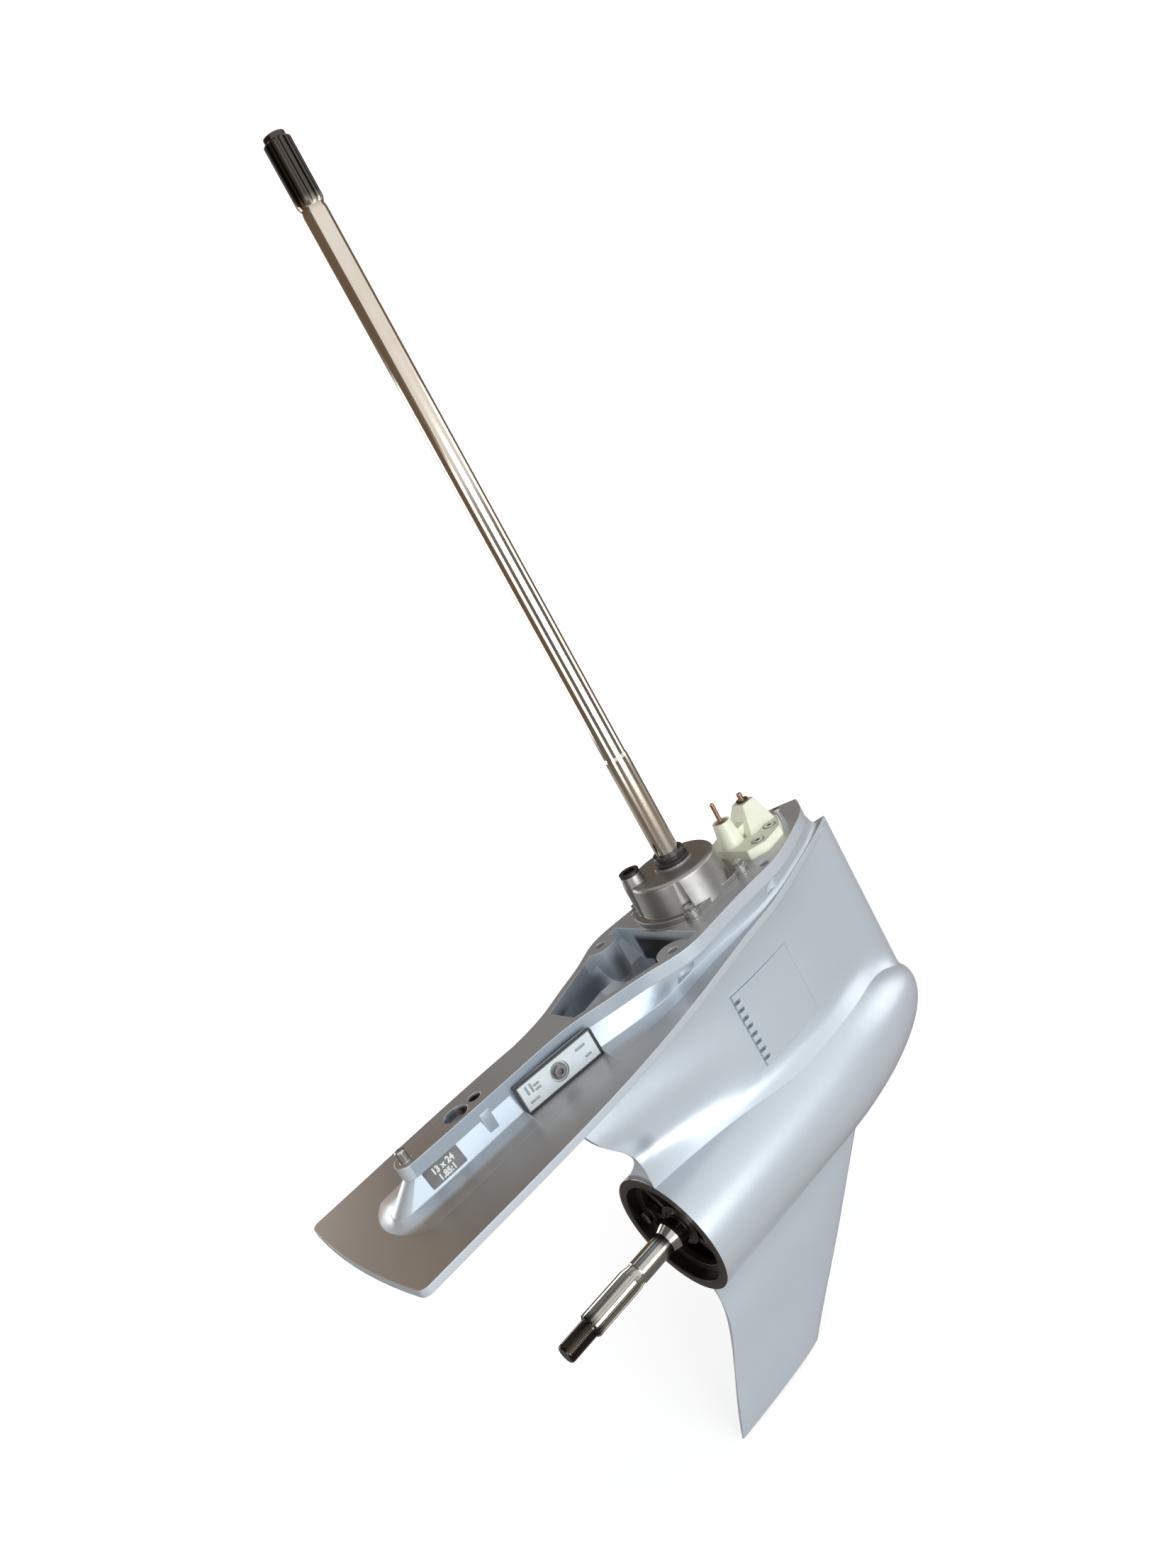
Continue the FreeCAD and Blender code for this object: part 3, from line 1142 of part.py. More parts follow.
def pump_housing():
    """Cast cover of the pump, with flange, rounded top edge and outlet boss."""
    low = PLATE_T + GASKET_T
    body = Part.makeCone(PUMP_R, PUMP_TOP_R, PUMP_HEIGHT - low, V(PUMP_X, 0, low), Z_AXIS)
    body = body.makeFillet(PUMP_EDGE_R, [e for e in body.Edges if e.BoundBox.ZMin > PUMP_HEIGHT - 0.1])
    taper_foot = OUTLET_TOP - OUTLET_TAPER
    taper = Part.makeCone(OUTLET_R, OUTLET_TOP_R, OUTLET_TAPER, V(OUTLET[0], OUTLET[1], taper_foot), Z_AXIS)
    boss = cylinder(OUTLET_R, low, taper_foot, OUTLET[0], OUTLET[1]).fuse(taper)
    neck = cylinder(BOOT_R + 2.5, PUMP_HEIGHT - 5, PUMP_HEIGHT + 1.5)
    casting = fused([pump_outline(low, low + PUMP_FLANGE_T), body, boss, neck])
    cup = cylinder(CUP_R, low - 1, low + IMPELLER_HEIGHT + 1.0 + CUP_WALL, CUP_OFFSET)
    shaft_hole = cylinder(DRIVE_LOWER_R + 1.5, 0, PUMP_HEIGHT + 5)
    boot_seat = cylinder(BOOT_R - 2.0, PUMP_HEIGHT - 3.0, PUMP_HEIGHT + 5)
    outlet = cylinder(OUTLET_BORE_R, low + 8.0, OUTLET_TOP + 1, OUTLET[0], OUTLET[1])
    holes = at_pump_bolts(PUMP_BOLT_R + SCREW_GAP, 0, low + PUMP_FLANGE_T + 2)
    pockets = at_pump_bolts(PUMP_POCKET_R, low + PUMP_FLANGE_T, OUTLET_TOP)
    return casting.cut([cup, shaft_hole, boot_seat, outlet] + holes + pockets)


def pump_insert_cup():
    """Steel liner that the impeller runs in."""
    low = PLATE_T + GASKET_T
    high = low + IMPELLER_HEIGHT + 1.0
    wall_ring = ring(CUP_R, CUP_R - CUP_WALL, low, high + CUP_WALL, CUP_OFFSET)
    lid = ring(CUP_R - CUP_WALL + 0.2, DRIVE_LOWER_R + 3.5, high, high + CUP_WALL, CUP_OFFSET)
    return fused([wall_ring, lid])


def impeller():
    """Rubber impeller with six curved vanes."""
    low = PLATE_T + GASKET_T + FREE_GAP
    high = low + IMPELLER_HEIGHT
    vanes = []
    for k in range(VANE_COUNT):
        vane = ring(VANE_OUTER_R, VANE_INNER_R, low, high, IMPELLER_HUB_R + 0.5, VANE_CENTRE_Y)
        vane = vane.common(cylinder(IMPELLER_TIP_R, low - 1, high + 1))
        vane = vane.common(box((IMPELLER_HUB_R - 3.0, 0, low - 1), (60, 60, high + 1)))
        vane.rotate(V(0, 0, 0), Z_AXIS, 360.0 / VANE_COUNT * k + 20)
        vanes.append(vane)
    body = fused([cylinder(IMPELLER_HUB_R, low, high)] + vanes)
    return body.cut([cylinder(DRIVE_LOWER_R, low - 1, high + 1), impeller_key()])


def pump_bolts():
    low = PLATE_T + GASKET_T + PUMP_FLANGE_T
    seat = low + PUMP_WASHER_T
    bolts = []
    for x in (PUMP_BOLT[0], -PUMP_BOLT[0]):
        for y in (PUMP_BOLT[1], -PUMP_BOLT[1]):
            shank = cylinder(PUMP_BOLT_R, -PUMP_BOLT_DEPTH, seat, x, y)
            washer = cylinder(PUMP_WASHER_R, low, seat, x, y)
            head = hexagon(PUMP_BOLT_ACROSS, seat, seat + PUMP_BOLT_HEAD, x, y)
            bolts.append(fused([shank, washer, head]))
    return group(bolts)


def pump_boot():
    """Black rubber boot that seals the pump's top round the drive shaft."""
    base = PUMP_HEIGHT - 3.0
    gap = DRIVE_LOWER_R + FREE_GAP
    foot = PUMP_HEIGHT + 1.5
    return turned([(gap, base), (BOOT_R - 2.0, base), (BOOT_R - 2.0, foot), (BOOT_R, foot),
                   (BOOT_R, foot + 2.0), (BOOT_R - 2.2, foot + 3.5), (BOOT_R - 2.2, BOOT_TOP - 3.5),
                   (BOOT_R - 0.8, BOOT_TOP - 2.5), (BOOT_R - 1.4, BOOT_TOP), (gap, BOOT_TOP)])


def outlet_seal():
    """Rubber lip on the pump's outlet."""
    high = OUTLET_TOP + OUTLET_LIP_T
    return ring(OUTLET_TOP_R, OUTLET_LIP_R, OUTLET_TOP, high, OUTLET[0], OUTLET[1])


# Seals and seal housing of the drive shaft

def seal_housing():
    low = TOP_BEARING_Z
    outer = SEAL_HOUSING_R
    inner = DRIVE_LOWER_R + 3.0
    nose_r = outer - 2.0
    groove_r = outer - O_RING_DEPTH
    groove = low + SEAL_GROOVE_UP
    lip = low + SEAL_LIP_UP
    return turned([(inner, low), (nose_r, low), (nose_r, low + 6), (outer, low + 6), (outer, groove),
                   (groove_r, groove), (groove_r, groove + O_RING_WIDTH), (outer, groove + O_RING_WIDTH),
                   (outer, 0), (DRIVE_SEAL_R, 0), (DRIVE_SEAL_R, lip), (inner, lip)])


def seal_housing_o_ring():
    low = TOP_BEARING_Z + SEAL_GROOVE_UP
    return ring(SEAL_HOUSING_R, SEAL_HOUSING_R - O_RING_DEPTH, low, low + O_RING_WIDTH)


def drive_shaft_seals():
    """Two lip seals, one over the other."""
    low = TOP_BEARING_Z + SEAL_LIP_UP
    height = (-low - 1.0) / 2
    return group([ring(DRIVE_SEAL_R, DRIVE_LOWER_R + RUN_FIT, low, low + height),
                  ring(DRIVE_SEAL_R, DRIVE_LOWER_R + RUN_FIT, low + height + 0.5, -0.5)])


def prop_shaft_seals():
    """Two lip seals, one behind the other."""
    rear = RIM_STEP - 5.0
    width = (PROP_SEAL_X - rear - 1.0) / 2
    return group([shaft_ring(PROP_SEAL_R, PROP_BODY_R + RUN_FIT, rear, rear + width),
                  shaft_ring(PROP_SEAL_R, PROP_BODY_R + RUN_FIT, rear + width + 1.0, PROP_SEAL_X)])


# Shift bracket

def shift_bracket():
    """Pale moulded bracket ahead of the pump: base, rear tower with its cup, slanted front tower."""
    base = prism(BRACKET_PLAN, 0, BRACKET_T)
    corners = [e for e in base.Edges if e.BoundBox.ZLength > BRACKET_T - 0.1]
    base = base.makeFillet(BRACKET_CORNER_R, corners)
    foot = BRACKET_T - 1
    rear_tower = Part.makeCone(TOWER_FOOT_R, TOWER_TOP_R, TOWER_TOP - foot, V(SHIFT_X, 0, foot), Z_AXIS)
    levels = ((foot, SLOPE_FOOT), (FRONT_TOWER_TOP, SLOPE_TOP))
    wires = []
    for z, plan in levels:
        corners = [V(x, y, z) for x, y in plan]
        wires.append(Part.makePolygon(corners + corners[:1]))
    front_tower = Part.makeLoft(wires, True, True)
    bridge = box((SHIFT_X, -BRIDGE_HALF, foot), (NIPPLE[0], BRIDGE_HALF, TOWER_TOP - BRIDGE_DROP))
    shape = fused([base, rear_tower, front_tower, bridge])
    cup_floor = TOWER_TOP - TOWER_CUP_DEPTH
    cuts = [cylinder(SHIFT_ROD_R + 1.5, -1, TOWER_TOP + 1, SHIFT_X),
            cylinder(TOWER_CUP_R, cup_floor - BOOT_SINK, TOWER_TOP + 1, SHIFT_X),
            cylinder(NIPPLE_R, -1, TOWER_TOP + 1, NIPPLE[0], NIPPLE[1])]
    for x, y in BRACKET_SCREWS:
        cuts.append(cylinder(SCREW_R + SCREW_GAP, -1, TOWER_TOP, x, y))
        cuts.append(cylinder(SCREW_HEAD_R + 1.0, BRACKET_T - SCREW_RECESS, TOWER_TOP, x, y))
    return shape.cut(cuts)


def bracket_screws():
    seat = BRACKET_T - SCREW_RECESS
    top = seat + SCREW_HEAD_T
    screws = []
    for x, y in BRACKET_SCREWS:
        head = cylinder(SCREW_HEAD_R, seat, top, x, y)
        head = head.cut(hexagon(SCREW_SOCKET, top - SCREW_SOCKET_DEPTH, top + 1, x, y))
        screws.append(fused([cylinder(SCREW_R, -BRACKET_SCREW_DEPTH, seat + 0.5, x, y), head]))
    return group(screws)


def shift_rod_boot():
    """Rubber seal in the rear tower's cup: it closes over the rod's shoulder."""
    gap = SHIFT_ROD_R + FREE_GAP
    floor = TOWER_TOP - TOWER_CUP_DEPTH - BOOT_SINK
    lid = SHIFT_ROD_NECK + FREE_GAP
    boot = turned([(gap, floor), (TOWER_CUP_R, floor), (TOWER_CUP_R, lid + 1.4), (BOOT_LIP_R, lid + 1.4),
                   (BOOT_LIP_R, lid), (gap, lid)])
    boot.translate(V(SHIFT_X, 0, 0))
    return boot


def hose_nipple():
    """Metal tube in the front tower, thinner at its free end."""
    end = FRONT_TOWER_TOP + NIPPLE_LENGTH
    step = FRONT_TOWER_TOP + NIPPLE_SEAL_T
    tube = turned([(NIPPLE_BORE_R, 2.0), (NIPPLE_R, 2.0), (NIPPLE_R, step), (NIPPLE_END_R, step),
                   (NIPPLE_END_R, end - 0.6), (NIPPLE_END_R - 0.6, end), (NIPPLE_BORE_R, end)])
    tube.translate(V(NIPPLE[0], NIPPLE[1], 0))
    return tube


def nipple_seal():
    """Rubber ring on the front tower's top, round the nipple."""
    high = FRONT_TOWER_TOP + NIPPLE_SEAL_T
    return ring(NIPPLE_SEAL_R, NIPPLE_R, FRONT_TOWER_TOP, high, NIPPLE[0], NIPPLE[1])


def dowel(x, y):
    """Pin that centres the leg: a thick end in the casting and a thinner end above the deck."""
    lead = 1.0
    pin = turned([(0, -DOWEL_DEPTH), (DOWEL_SEAT_R, -DOWEL_DEPTH), (DOWEL_SEAT_R, 0), (DOWEL_R, 0),
                  (DOWEL_R, DOWEL_PROUD - lead), (DOWEL_R - lead, DOWEL_PROUD), (0, DOWEL_PROUD)])
    pin.translate(V(x, y, 0))
    return pin


# Anodes

def side_anode(side):
    block = anode_block(0.0, -ANODE_T / 2, ANODE_T / 2)
    edges = [e for e in block.Edges if e.BoundBox.YMin > ANODE_T / 2 - 0.1]
    block = block.makeChamfer(ANODE_CHAMFER, edges)
    recess = side_cylinder(ANODE_RECESS_R, 0, 0, ANODE_T / 2 - ANODE_RECESS_DEPTH, ANODE_T / 2 + 1)
    hole = side_cylinder(SCREW_R + SCREW_GAP, 0, 0, -ANODE_T, ANODE_T)
    return anode_place(block.cut([recess, hole]), side)


def anode_bolt(side):
    low = ANODE_T / 2 - ANODE_RECESS_DEPTH
    seat = low + ANODE_WASHER_T
    top = seat + ANODE_HEAD_T
    shank = side_cylinder(SCREW_R, 0, 0, -ANODE_BOLT_END, seat)
    washer = side_cylinder(ANODE_WASHER_R, 0, 0, low, seat)
    head = side_cylinder(ANODE_HEAD_R, 0, 0, seat, top)
    socket = side_cylinder(ANODE_SOCKET_R, 0, 0, top - 2.0, top + 1.0)
    return anode_place(fused([shank, washer, head]).cut(socket), side)


# Intake covers

def intake_cover(form, side):
    """Gill-like cover: it follows the strut's side and lifts towards the slots in its rear edge."""
    lifted = form.copy()
    lifted.rotate(V(COVER_FRONT, 0, 0), Z_AXIS, -COVER_LIFT_DEG)
    blank = box((COVER_REAR, COVER_SEAT, COVER_LOW), (COVER_FRONT, OUTSIDE_Y, COVER_HIGH)).common(lifted)
    pitch = (COVER_HIGH - COVER_LOW - 2 * SLOT_MARGIN) / SLOT_COUNT
    slot_end = COVER_REAR + SLOT_LENGTH
    half = SLOT_W / 2
    inner = COVER_SEAT - 1
    cuts = []
    for k in range(SLOT_COUNT):
        z = COVER_LOW + SLOT_MARGIN + pitch * (k + 0.5)
        cuts.append(box((COVER_REAR - 1, inner, z - half), (slot_end, OUTSIDE_Y, z + half)))
        cuts.append(side_cylinder(half, slot_end, z, inner, OUTSIDE_Y))
    if side > 0:
        head_seat = COVER_SEAT + COVER_HEAD_SEAT
        cuts.append(side_cylinder(SCREW_R + SCREW_GAP, COVER_SCREW_X, COVER_SCREW_Z, inner, OUTSIDE_Y))
        cuts.append(side_cylinder(SCREW_HEAD_R + 0.5, COVER_SCREW_X, COVER_SCREW_Z, head_seat, OUTSIDE_Y))
    cover = blank.cut(cuts)
    if side < 0:
        cover = mirrored(cover)
    return cover


def intake_cover_screw():
    low = COVER_SEAT + COVER_HEAD_SEAT
    shank = side_cylinder(SCREW_R, COVER_SCREW_X, COVER_SCREW_Z, COVER_SCREW_END, low + 0.5)
    head = side_cylinder(SCREW_HEAD_R, COVER_SCREW_X, COVER_SCREW_Z, low, low + COVER_HEAD_T)
    return shank.fuse(head)


# Oil plugs

def plug_face_y(form, x, z):
    """Spot face of a plug on the port side of the casting."""
    line = Part.makeLine(V(x, 0, z), V(x, 100, z))
    return form.common(line).BoundBox.YMax - PLUG_FACE_DEPTH


def oil_plugs(form):
    plugs = []
    washers = []
    for x, z in OIL_PLUGS:
        face = plug_face_y(form, x, z)
        seat = face + PLUG_WASHER_T
        washer = side_cylinder(PLUG_WASHER_R, x, z, face, seat)
        hole = side_cylinder(PLUG_SHANK_R + SCREW_GAP, x, z, face - 1.0, seat + 1.0)
        washers.append(washer.cut(hole))
        shank = side_cylinder(PLUG_SHANK_R, x, z, PLUG_INNER_Y, seat + 0.5)
        head = side_cylinder(PLUG_HEAD_R, x, z, seat, seat + PLUG_HEAD_T)
        slot_floor = seat + PLUG_HEAD_T / 2
        slot = box((x - 10, slot_floor, z - PLUG_SLOT_HALF), (x + 10, seat + 5.0, z + PLUG_SLOT_HALF))
        plugs.append(shank.fuse(head).cut(slot))
    return group(plugs), group(washers)


def export(name, shape):
    shape.exportStep("parts/" + name + ".step")
    facts = (name, len(shape.Solids), shape.isValid(), shape.Volume)
    print("%-28s solids %2d  valid %s  volume %.1f" % facts)


def build():
    os.makedirs("parts", exist_ok=True)
    form = outer_form()
    nodes = {}
    nodes["gearcase_housing"] = gearcase_housing(form)
    nodes["bearing_carrier"] = bearing_carrier()
    nodes["carrier_bolts"] = carrier_bolts()
    nodes["carrier_o_ring"] = carrier_o_ring()
    nodes["prop_shaft_seals"] = prop_shaft_seals()
    nodes["prop_shaft_needle_bearing"] = shaft_ring(PROP_NEEDLE_R, PROP_BODY_R + RUN_FIT,
                                                    PROP_NEEDLE_REAR, PROP_NEEDLE_FRONT)
    cup, cone = roller_bearing(WHEEL_HUB_R, WHEEL_BEARING_R, WHEEL_BEARING_WIDTH, FORWARD_ROLLERS,
                               WHEEL_BEARING_X)
    nodes["forward_bearing_cup"] = lay_along_shaft(cup)
    nodes["forward_bearing_cone"] = lay_along_shaft(cone)
    outer_ring, inner_ring = ball_bearing(WHEEL_HUB_R, REVERSE_BEARING_R, REVERSE_BEARING_WIDTH,
                                          REVERSE_BALLS, REVERSE_BEARING_X)
    nodes["reverse_bearing_outer"] = face_aft(lay_along_shaft(outer_ring))
    nodes["reverse_bearing_inner"] = face_aft(lay_along_shaft(inner_ring))
    cup, cone = roller_bearing(DRIVE_LOWER_R, TOP_BEARING_R, TOP_BEARING_WIDTH, DRIVE_ROLLERS,
                               TOP_BEARING_Z - TOP_BEARING_WIDTH)
    nodes["drive_bearing_cup"] = cup
    nodes["drive_bearing_cone"] = cone
    nodes["drive_needle_bearing"] = ring(NEEDLE_R, DRIVE_LOWER_R + RUN_FIT, PROP_Z + NEEDLE_LOW,
                                         PROP_Z + NEEDLE_HIGH)
    nodes["forward_gear_bush"] = shaft_ring(WHEEL_BORE_R, PROP_STUB_R + RUN_FIT, WHEEL_FACE_X + 1.0,
                                            PROP_FRONT)
    nodes["reverse_gear_bush"] = shaft_ring(WHEEL_BORE_R, PROP_BODY_R + RUN_FIT, -HUB_END_X,
                                            -WHEEL_FACE_X - 1.0)
    nodes["pinion_nut"] = pinion_nut()
    nodes["seal_housing_o_ring"] = seal_housing_o_ring()
    nodes["drive_shaft_seals"] = drive_shaft_seals()
    nodes["shift_rod_bush"] = ring(ROD_BUSH_R, SHIFT_ROD_R + RUN_FIT, -ROD_BUSH_T, -0.5, SHIFT_X)
    nodes["prop_shaft"] = prop_shaft()
    nodes["drive_shaft"] = drive_shaft()
    nodes["pinion_gear"] = pinion_gear()
    nodes["forward_gear"] = lay_along_shaft(bevel_wheel(180.0 + 180.0 / WHEEL_TEETH))
    nodes["reverse_gear"] = face_aft(lay_along_shaft(bevel_wheel(180.0)))
    nodes["dog_clutch"] = dog_clutch()
    nodes["clutch_pin"] = clutch_pin()
    nodes["clutch_pin_ring"] = clutch_pin_ring()
    nodes["shift_plunger"] = shift_plunger()
    nodes["shift_slider"] = shift_slider()
    nodes["shift_cam"] = shift_cam()
    nodes["shift_rod"] = shift_rod()
    nodes["pump_base_plate"] = pump_base_plate()
    nodes["pump_gasket"] = pump_gasket()
    nodes["pump_housing"] = pump_housing()
    nodes["pump_insert_cup"] = pump_insert_cup()
    nodes["impeller"] = impeller()
    nodes["impeller_key"] = impeller_key()
    nodes["pump_bolts"] = pump_bolts()
    nodes["pump_boot"] = pump_boot()
    nodes["outlet_seal"] = outlet_seal()
    nodes["nipple_seal"] = nipple_seal()
    nodes["seal_housing"] = seal_housing()
    nodes["shift_bracket"] = shift_bracket()
    nodes["bracket_screws"] = bracket_screws()
    nodes["shift_rod_boot"] = shift_rod_boot()
    nodes["hose_nipple"] = hose_nipple()
    nodes["front_dowel"] = dowel(*FRONT_DOWEL)
    nodes["rear_dowel"] = dowel(REAR_DOWEL_X, 0)
    for name, side in (("port", 1), ("starboard", -1)):
        nodes["side_anode_" + name] = side_anode(side)
        nodes["anode_bolt_" + name] = anode_bolt(side)
        nodes["intake_cover_" + name] = intake_cover(form, side)
    nodes["intake_cover_screw"] = intake_cover_screw()
    nodes["oil_plugs"], nodes["oil_plug_washers"] = oil_plugs(form)
    for name, shape in nodes.items():
        export(name, shape)


build()
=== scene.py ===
# %% [markdown]
# # The lower unit of an outboard motor, dressed for the studio
# The CAD frame already holds the casting, the gears, the shafts and the water pump. This lesson
# gives each of them its finish, models the small things that a CAD source leaves out, and sets
# up a plain studio seen from the angle of the photograph.

import math

import bmesh
import bpy
from mathutils import Matrix, Vector


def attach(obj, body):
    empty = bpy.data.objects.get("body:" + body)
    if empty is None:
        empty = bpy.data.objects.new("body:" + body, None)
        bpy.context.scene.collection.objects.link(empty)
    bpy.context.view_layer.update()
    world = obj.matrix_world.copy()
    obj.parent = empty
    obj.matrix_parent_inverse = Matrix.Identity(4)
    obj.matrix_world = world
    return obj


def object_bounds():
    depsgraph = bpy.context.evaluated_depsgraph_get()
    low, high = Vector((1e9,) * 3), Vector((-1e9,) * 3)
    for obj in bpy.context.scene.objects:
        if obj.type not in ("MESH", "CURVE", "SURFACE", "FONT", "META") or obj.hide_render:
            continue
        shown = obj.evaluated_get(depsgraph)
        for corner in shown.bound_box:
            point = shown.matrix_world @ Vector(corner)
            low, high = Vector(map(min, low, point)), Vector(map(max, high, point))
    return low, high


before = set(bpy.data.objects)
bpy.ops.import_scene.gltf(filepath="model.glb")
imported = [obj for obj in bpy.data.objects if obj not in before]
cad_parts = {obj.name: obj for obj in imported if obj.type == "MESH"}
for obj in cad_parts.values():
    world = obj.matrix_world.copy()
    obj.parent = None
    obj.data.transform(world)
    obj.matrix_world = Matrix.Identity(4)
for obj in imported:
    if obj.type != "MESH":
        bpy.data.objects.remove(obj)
cad_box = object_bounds()
bpy.ops.object.select_all(action="DESELECT")

# %% [markdown]
# ## The camera
# The photograph looks down on the starboard quarter from behind, with the whole unit leaning.
# Its place and its turn were worked out once from known points on the part, such as the ends of
# the drive shaft and the tip of the skeg. The three rows below are the camera's right, down and
# forward directions.

# %% Camera
IMAGE_TALL = 2212.0
FOCAL_PIXELS = 1744.87
FILM = 36.0
CAMERA_PLACE = Vector((-0.5325, -0.7951, 0.386))
CAMERA_RIGHT = Vector((0.67129288, -0.57110135, -0.47245012))
CAMERA_DOWN = Vector((-0.53604492, 0.06613285, -0.84159509))
CAMERA_AHEAD = Vector((0.51188056, 0.81821128, -0.26174147))

bpy.ops.object.camera_add()
camera = bpy.context.object
camera.name = "studio_camera"
camera.data.sensor_width = FILM
camera.data.lens = FILM * FOCAL_PIXELS / IMAGE_TALL
camera.data.clip_start = 0.05
turn = Matrix((CAMERA_RIGHT, -CAMERA_DOWN, -CAMERA_AHEAD)).transposed()
camera.matrix_world = Matrix.Translation(CAMERA_PLACE) @ turn.to_4x4()
bpy.context.scene.camera = camera
print("lens:", round(camera.data.lens, 2), "mm")

# %% [markdown]
# ## Building materials from small parts
# A material is a small network of nodes. Two short helpers keep the networks readable: one adds
# a node and sets its inputs by name, the other joins an output to an input.


# %% Helpers for node networks
def add_node(tree, kind, settings=None, **inputs):
    """A new node in the tree. Inputs are given by name, with _ for a space."""
    made = tree.nodes.new("ShaderNode" + kind)
    for name, value in (settings or {}).items():
        setattr(made, name, value)
    for name, value in inputs.items():
        made.inputs[name.replace("_", " ")].default_value = value
    return made


def join(tree, output, socket):
    """One wire."""
    tree.links.new(output, socket)


def shade(red, green, blue):
    """A colour given as it looks on a screen, 0 to 255, turned to the linear values of a socket."""
    def linear(part):
        part = part / 255.0
        return part / 12.92 if part < 0.04045 else ((part + 0.055) / 1.055) ** 2.4
    return (linear(red), linear(green), linear(blue), 1.0)


# %% [markdown]
# ## The studio
# The object stands on a pale floor and in front of nothing at all. A camera ray, a mirror ray
# and a ray through glass that miss everything see white. Every other ray sees a dimmer sky, so
# that the light stays soft and plain.

# %% World
SKY_LIGHT = 0.40
world = bpy.data.worlds.new("studio_sky")
bpy.context.scene.world = world
world.use_nodes = True
sky = world.node_tree
sky.nodes.clear()
path = add_node(sky, "LightPath")
seen = add_node(sky, "Math", {"operation": "MAXIMUM"})
direct = add_node(sky, "Math", {"operation": "MAXIMUM"})
join(sky, path.outputs["Is Camera Ray"], seen.inputs[0])
join(sky, path.outputs["Is Glossy Ray"], seen.inputs[1])
join(sky, seen.outputs[0], direct.inputs[0])
join(sky, path.outputs["Is Transmission Ray"], direct.inputs[1])
level = add_node(sky, "MapRange", To_Min=SKY_LIGHT, To_Max=1.0)
join(sky, direct.outputs[0], level.inputs["Value"])
backdrop = add_node(sky, "Background", Color=(1.0, 1.0, 1.0, 1.0))
join(sky, level.outputs["Result"], backdrop.inputs["Strength"])
sky_out = add_node(sky, "OutputWorld")
join(sky, backdrop.outputs[0], sky_out.inputs["Surface"])
print("sky for diffuse light:", SKY_LIGHT)

# %% [markdown]
# ## The floor
# The floor is a matte sheet. In the camera's eye it also glows a little, more so far from the
# object, so that it meets the white background without a line and still keeps the shadow.

# %% Floor
FLOOR_GAP = 0.002
FLOOR_SIDE = 60.0
GLOW_FROM, GLOW_TO = 0.35, 1.6
GLOW_NEAR, GLOW_FAR = 0.50, 0.80
floor_height = cad_box[0][2] - FLOOR_GAP
bpy.ops.mesh.primitive_plane_add(size=FLOOR_SIDE, location=(0.0, 0.0, floor_height))
floor = bpy.context.object
floor.name = "studio_floor"
floor_paint = bpy.data.materials.new("studio_floor_paint")
floor_paint.use_nodes = True
tree = floor_paint.node_tree
tree.nodes.clear()
path = add_node(tree, "LightPath")
matte = add_node(tree, "BsdfDiffuse", Color=(0.34, 0.31, 0.28, 1.0))
pale = add_node(tree, "BsdfDiffuse", Color=(0.80, 0.80, 0.80, 1.0))
spot = add_node(tree, "TexCoord")
reach = add_node(tree, "VectorMath", {"operation": "LENGTH"})
join(tree, spot.outputs["Object"], reach.inputs[0])
rise = add_node(tree, "MapRange", {"interpolation_type": "SMOOTHSTEP"}, From_Min=GLOW_FROM,
                From_Max=GLOW_TO, To_Min=GLOW_NEAR, To_Max=GLOW_FAR)
join(tree, reach.outputs["Value"], rise.inputs["Value"])
glow = add_node(tree, "Emission", Color=(1.0, 1.0, 1.0, 1.0))
join(tree, rise.outputs["Result"], glow.inputs["Strength"])
both = add_node(tree, "AddShader")
join(tree, pale.outputs[0], both.inputs[0])
join(tree, glow.outputs[0], both.inputs[1])
choose = add_node(tree, "MixShader")
join(tree, path.outputs["Is Camera Ray"], choose.inputs[0])
join(tree, matte.outputs[0], choose.inputs[1])
join(tree, both.outputs[0], choose.inputs[2])
floor_out = add_node(tree, "OutputMaterial")
join(tree, choose.outputs[0], floor_out.inputs["Surface"])
floor.data.materials.append(floor_paint)
print("floor at", round(floor_height, 4), "m")

# %% [markdown]
# ## A brown flag on the port side
# Polished metal has no colour of its own and shows its surroundings. In the photograph the
# shafts have a dark brown side and the flat tops look brown, because a dim room lies on the port
# side. A photographer would put up a dark flag there. This one is a little over half of a wide
# ring, seen in reflections only, and it takes no light from the object.

# %% Flag
FLAG_SIDES = 96
FLAG_RADIUS = 2.6
FLAG_HEIGHT = 2.9
FLAG_FROM_DEG, FLAG_TO_DEG = -12.0, 202.0
bpy.ops.object.select_all(action="DESELECT")
bpy.ops.mesh.primitive_cylinder_add(vertices=FLAG_SIDES, radius=FLAG_RADIUS, depth=FLAG_HEIGHT,
                                    end_fill_type="NOTHING",
                                    location=(0.0, 0.0, floor_height + FLAG_HEIGHT / 2))
flag = bpy.context.object
flag.name = "studio_flag"
bpy.ops.object.transform_apply(location=True, rotation=True, scale=True)
bpy.ops.object.mode_set(mode="EDIT")
bpy.ops.mesh.select_all(action="DESELECT")
shell = bmesh.from_edit_mesh(flag.data)
for face in shell.faces:
    middle = face.calc_center_median()
    angle = math.degrees(math.atan2(middle.y, middle.x)) % 360.0
    if angle > FLAG_TO_DEG and angle < 360.0 + FLAG_FROM_DEG:
        face.select_set(True)
bmesh.update_edit_mesh(flag.data)
bpy.ops.mesh.delete(type="FACE")
bpy.ops.object.mode_set(mode="OBJECT")
flag_cloth = bpy.data.materials.new("studio_flag_cloth")
flag_cloth.use_nodes = True
tree = flag_cloth.node_tree
tree.nodes.clear()
dim = add_node(tree, "Emission", Color=(0.17, 0.125, 0.085, 1.0), Strength=1.0)
flag_out = add_node(tree, "OutputMaterial")
join(tree, dim.outputs[0], flag_out.inputs["Surface"])
flag.data.materials.append(flag_cloth)
for kind in ("visible_camera", "visible_diffuse", "visible_shadow", "visible_transmission",
             "visible_volume_scatter"):
    setattr(flag, kind, False)
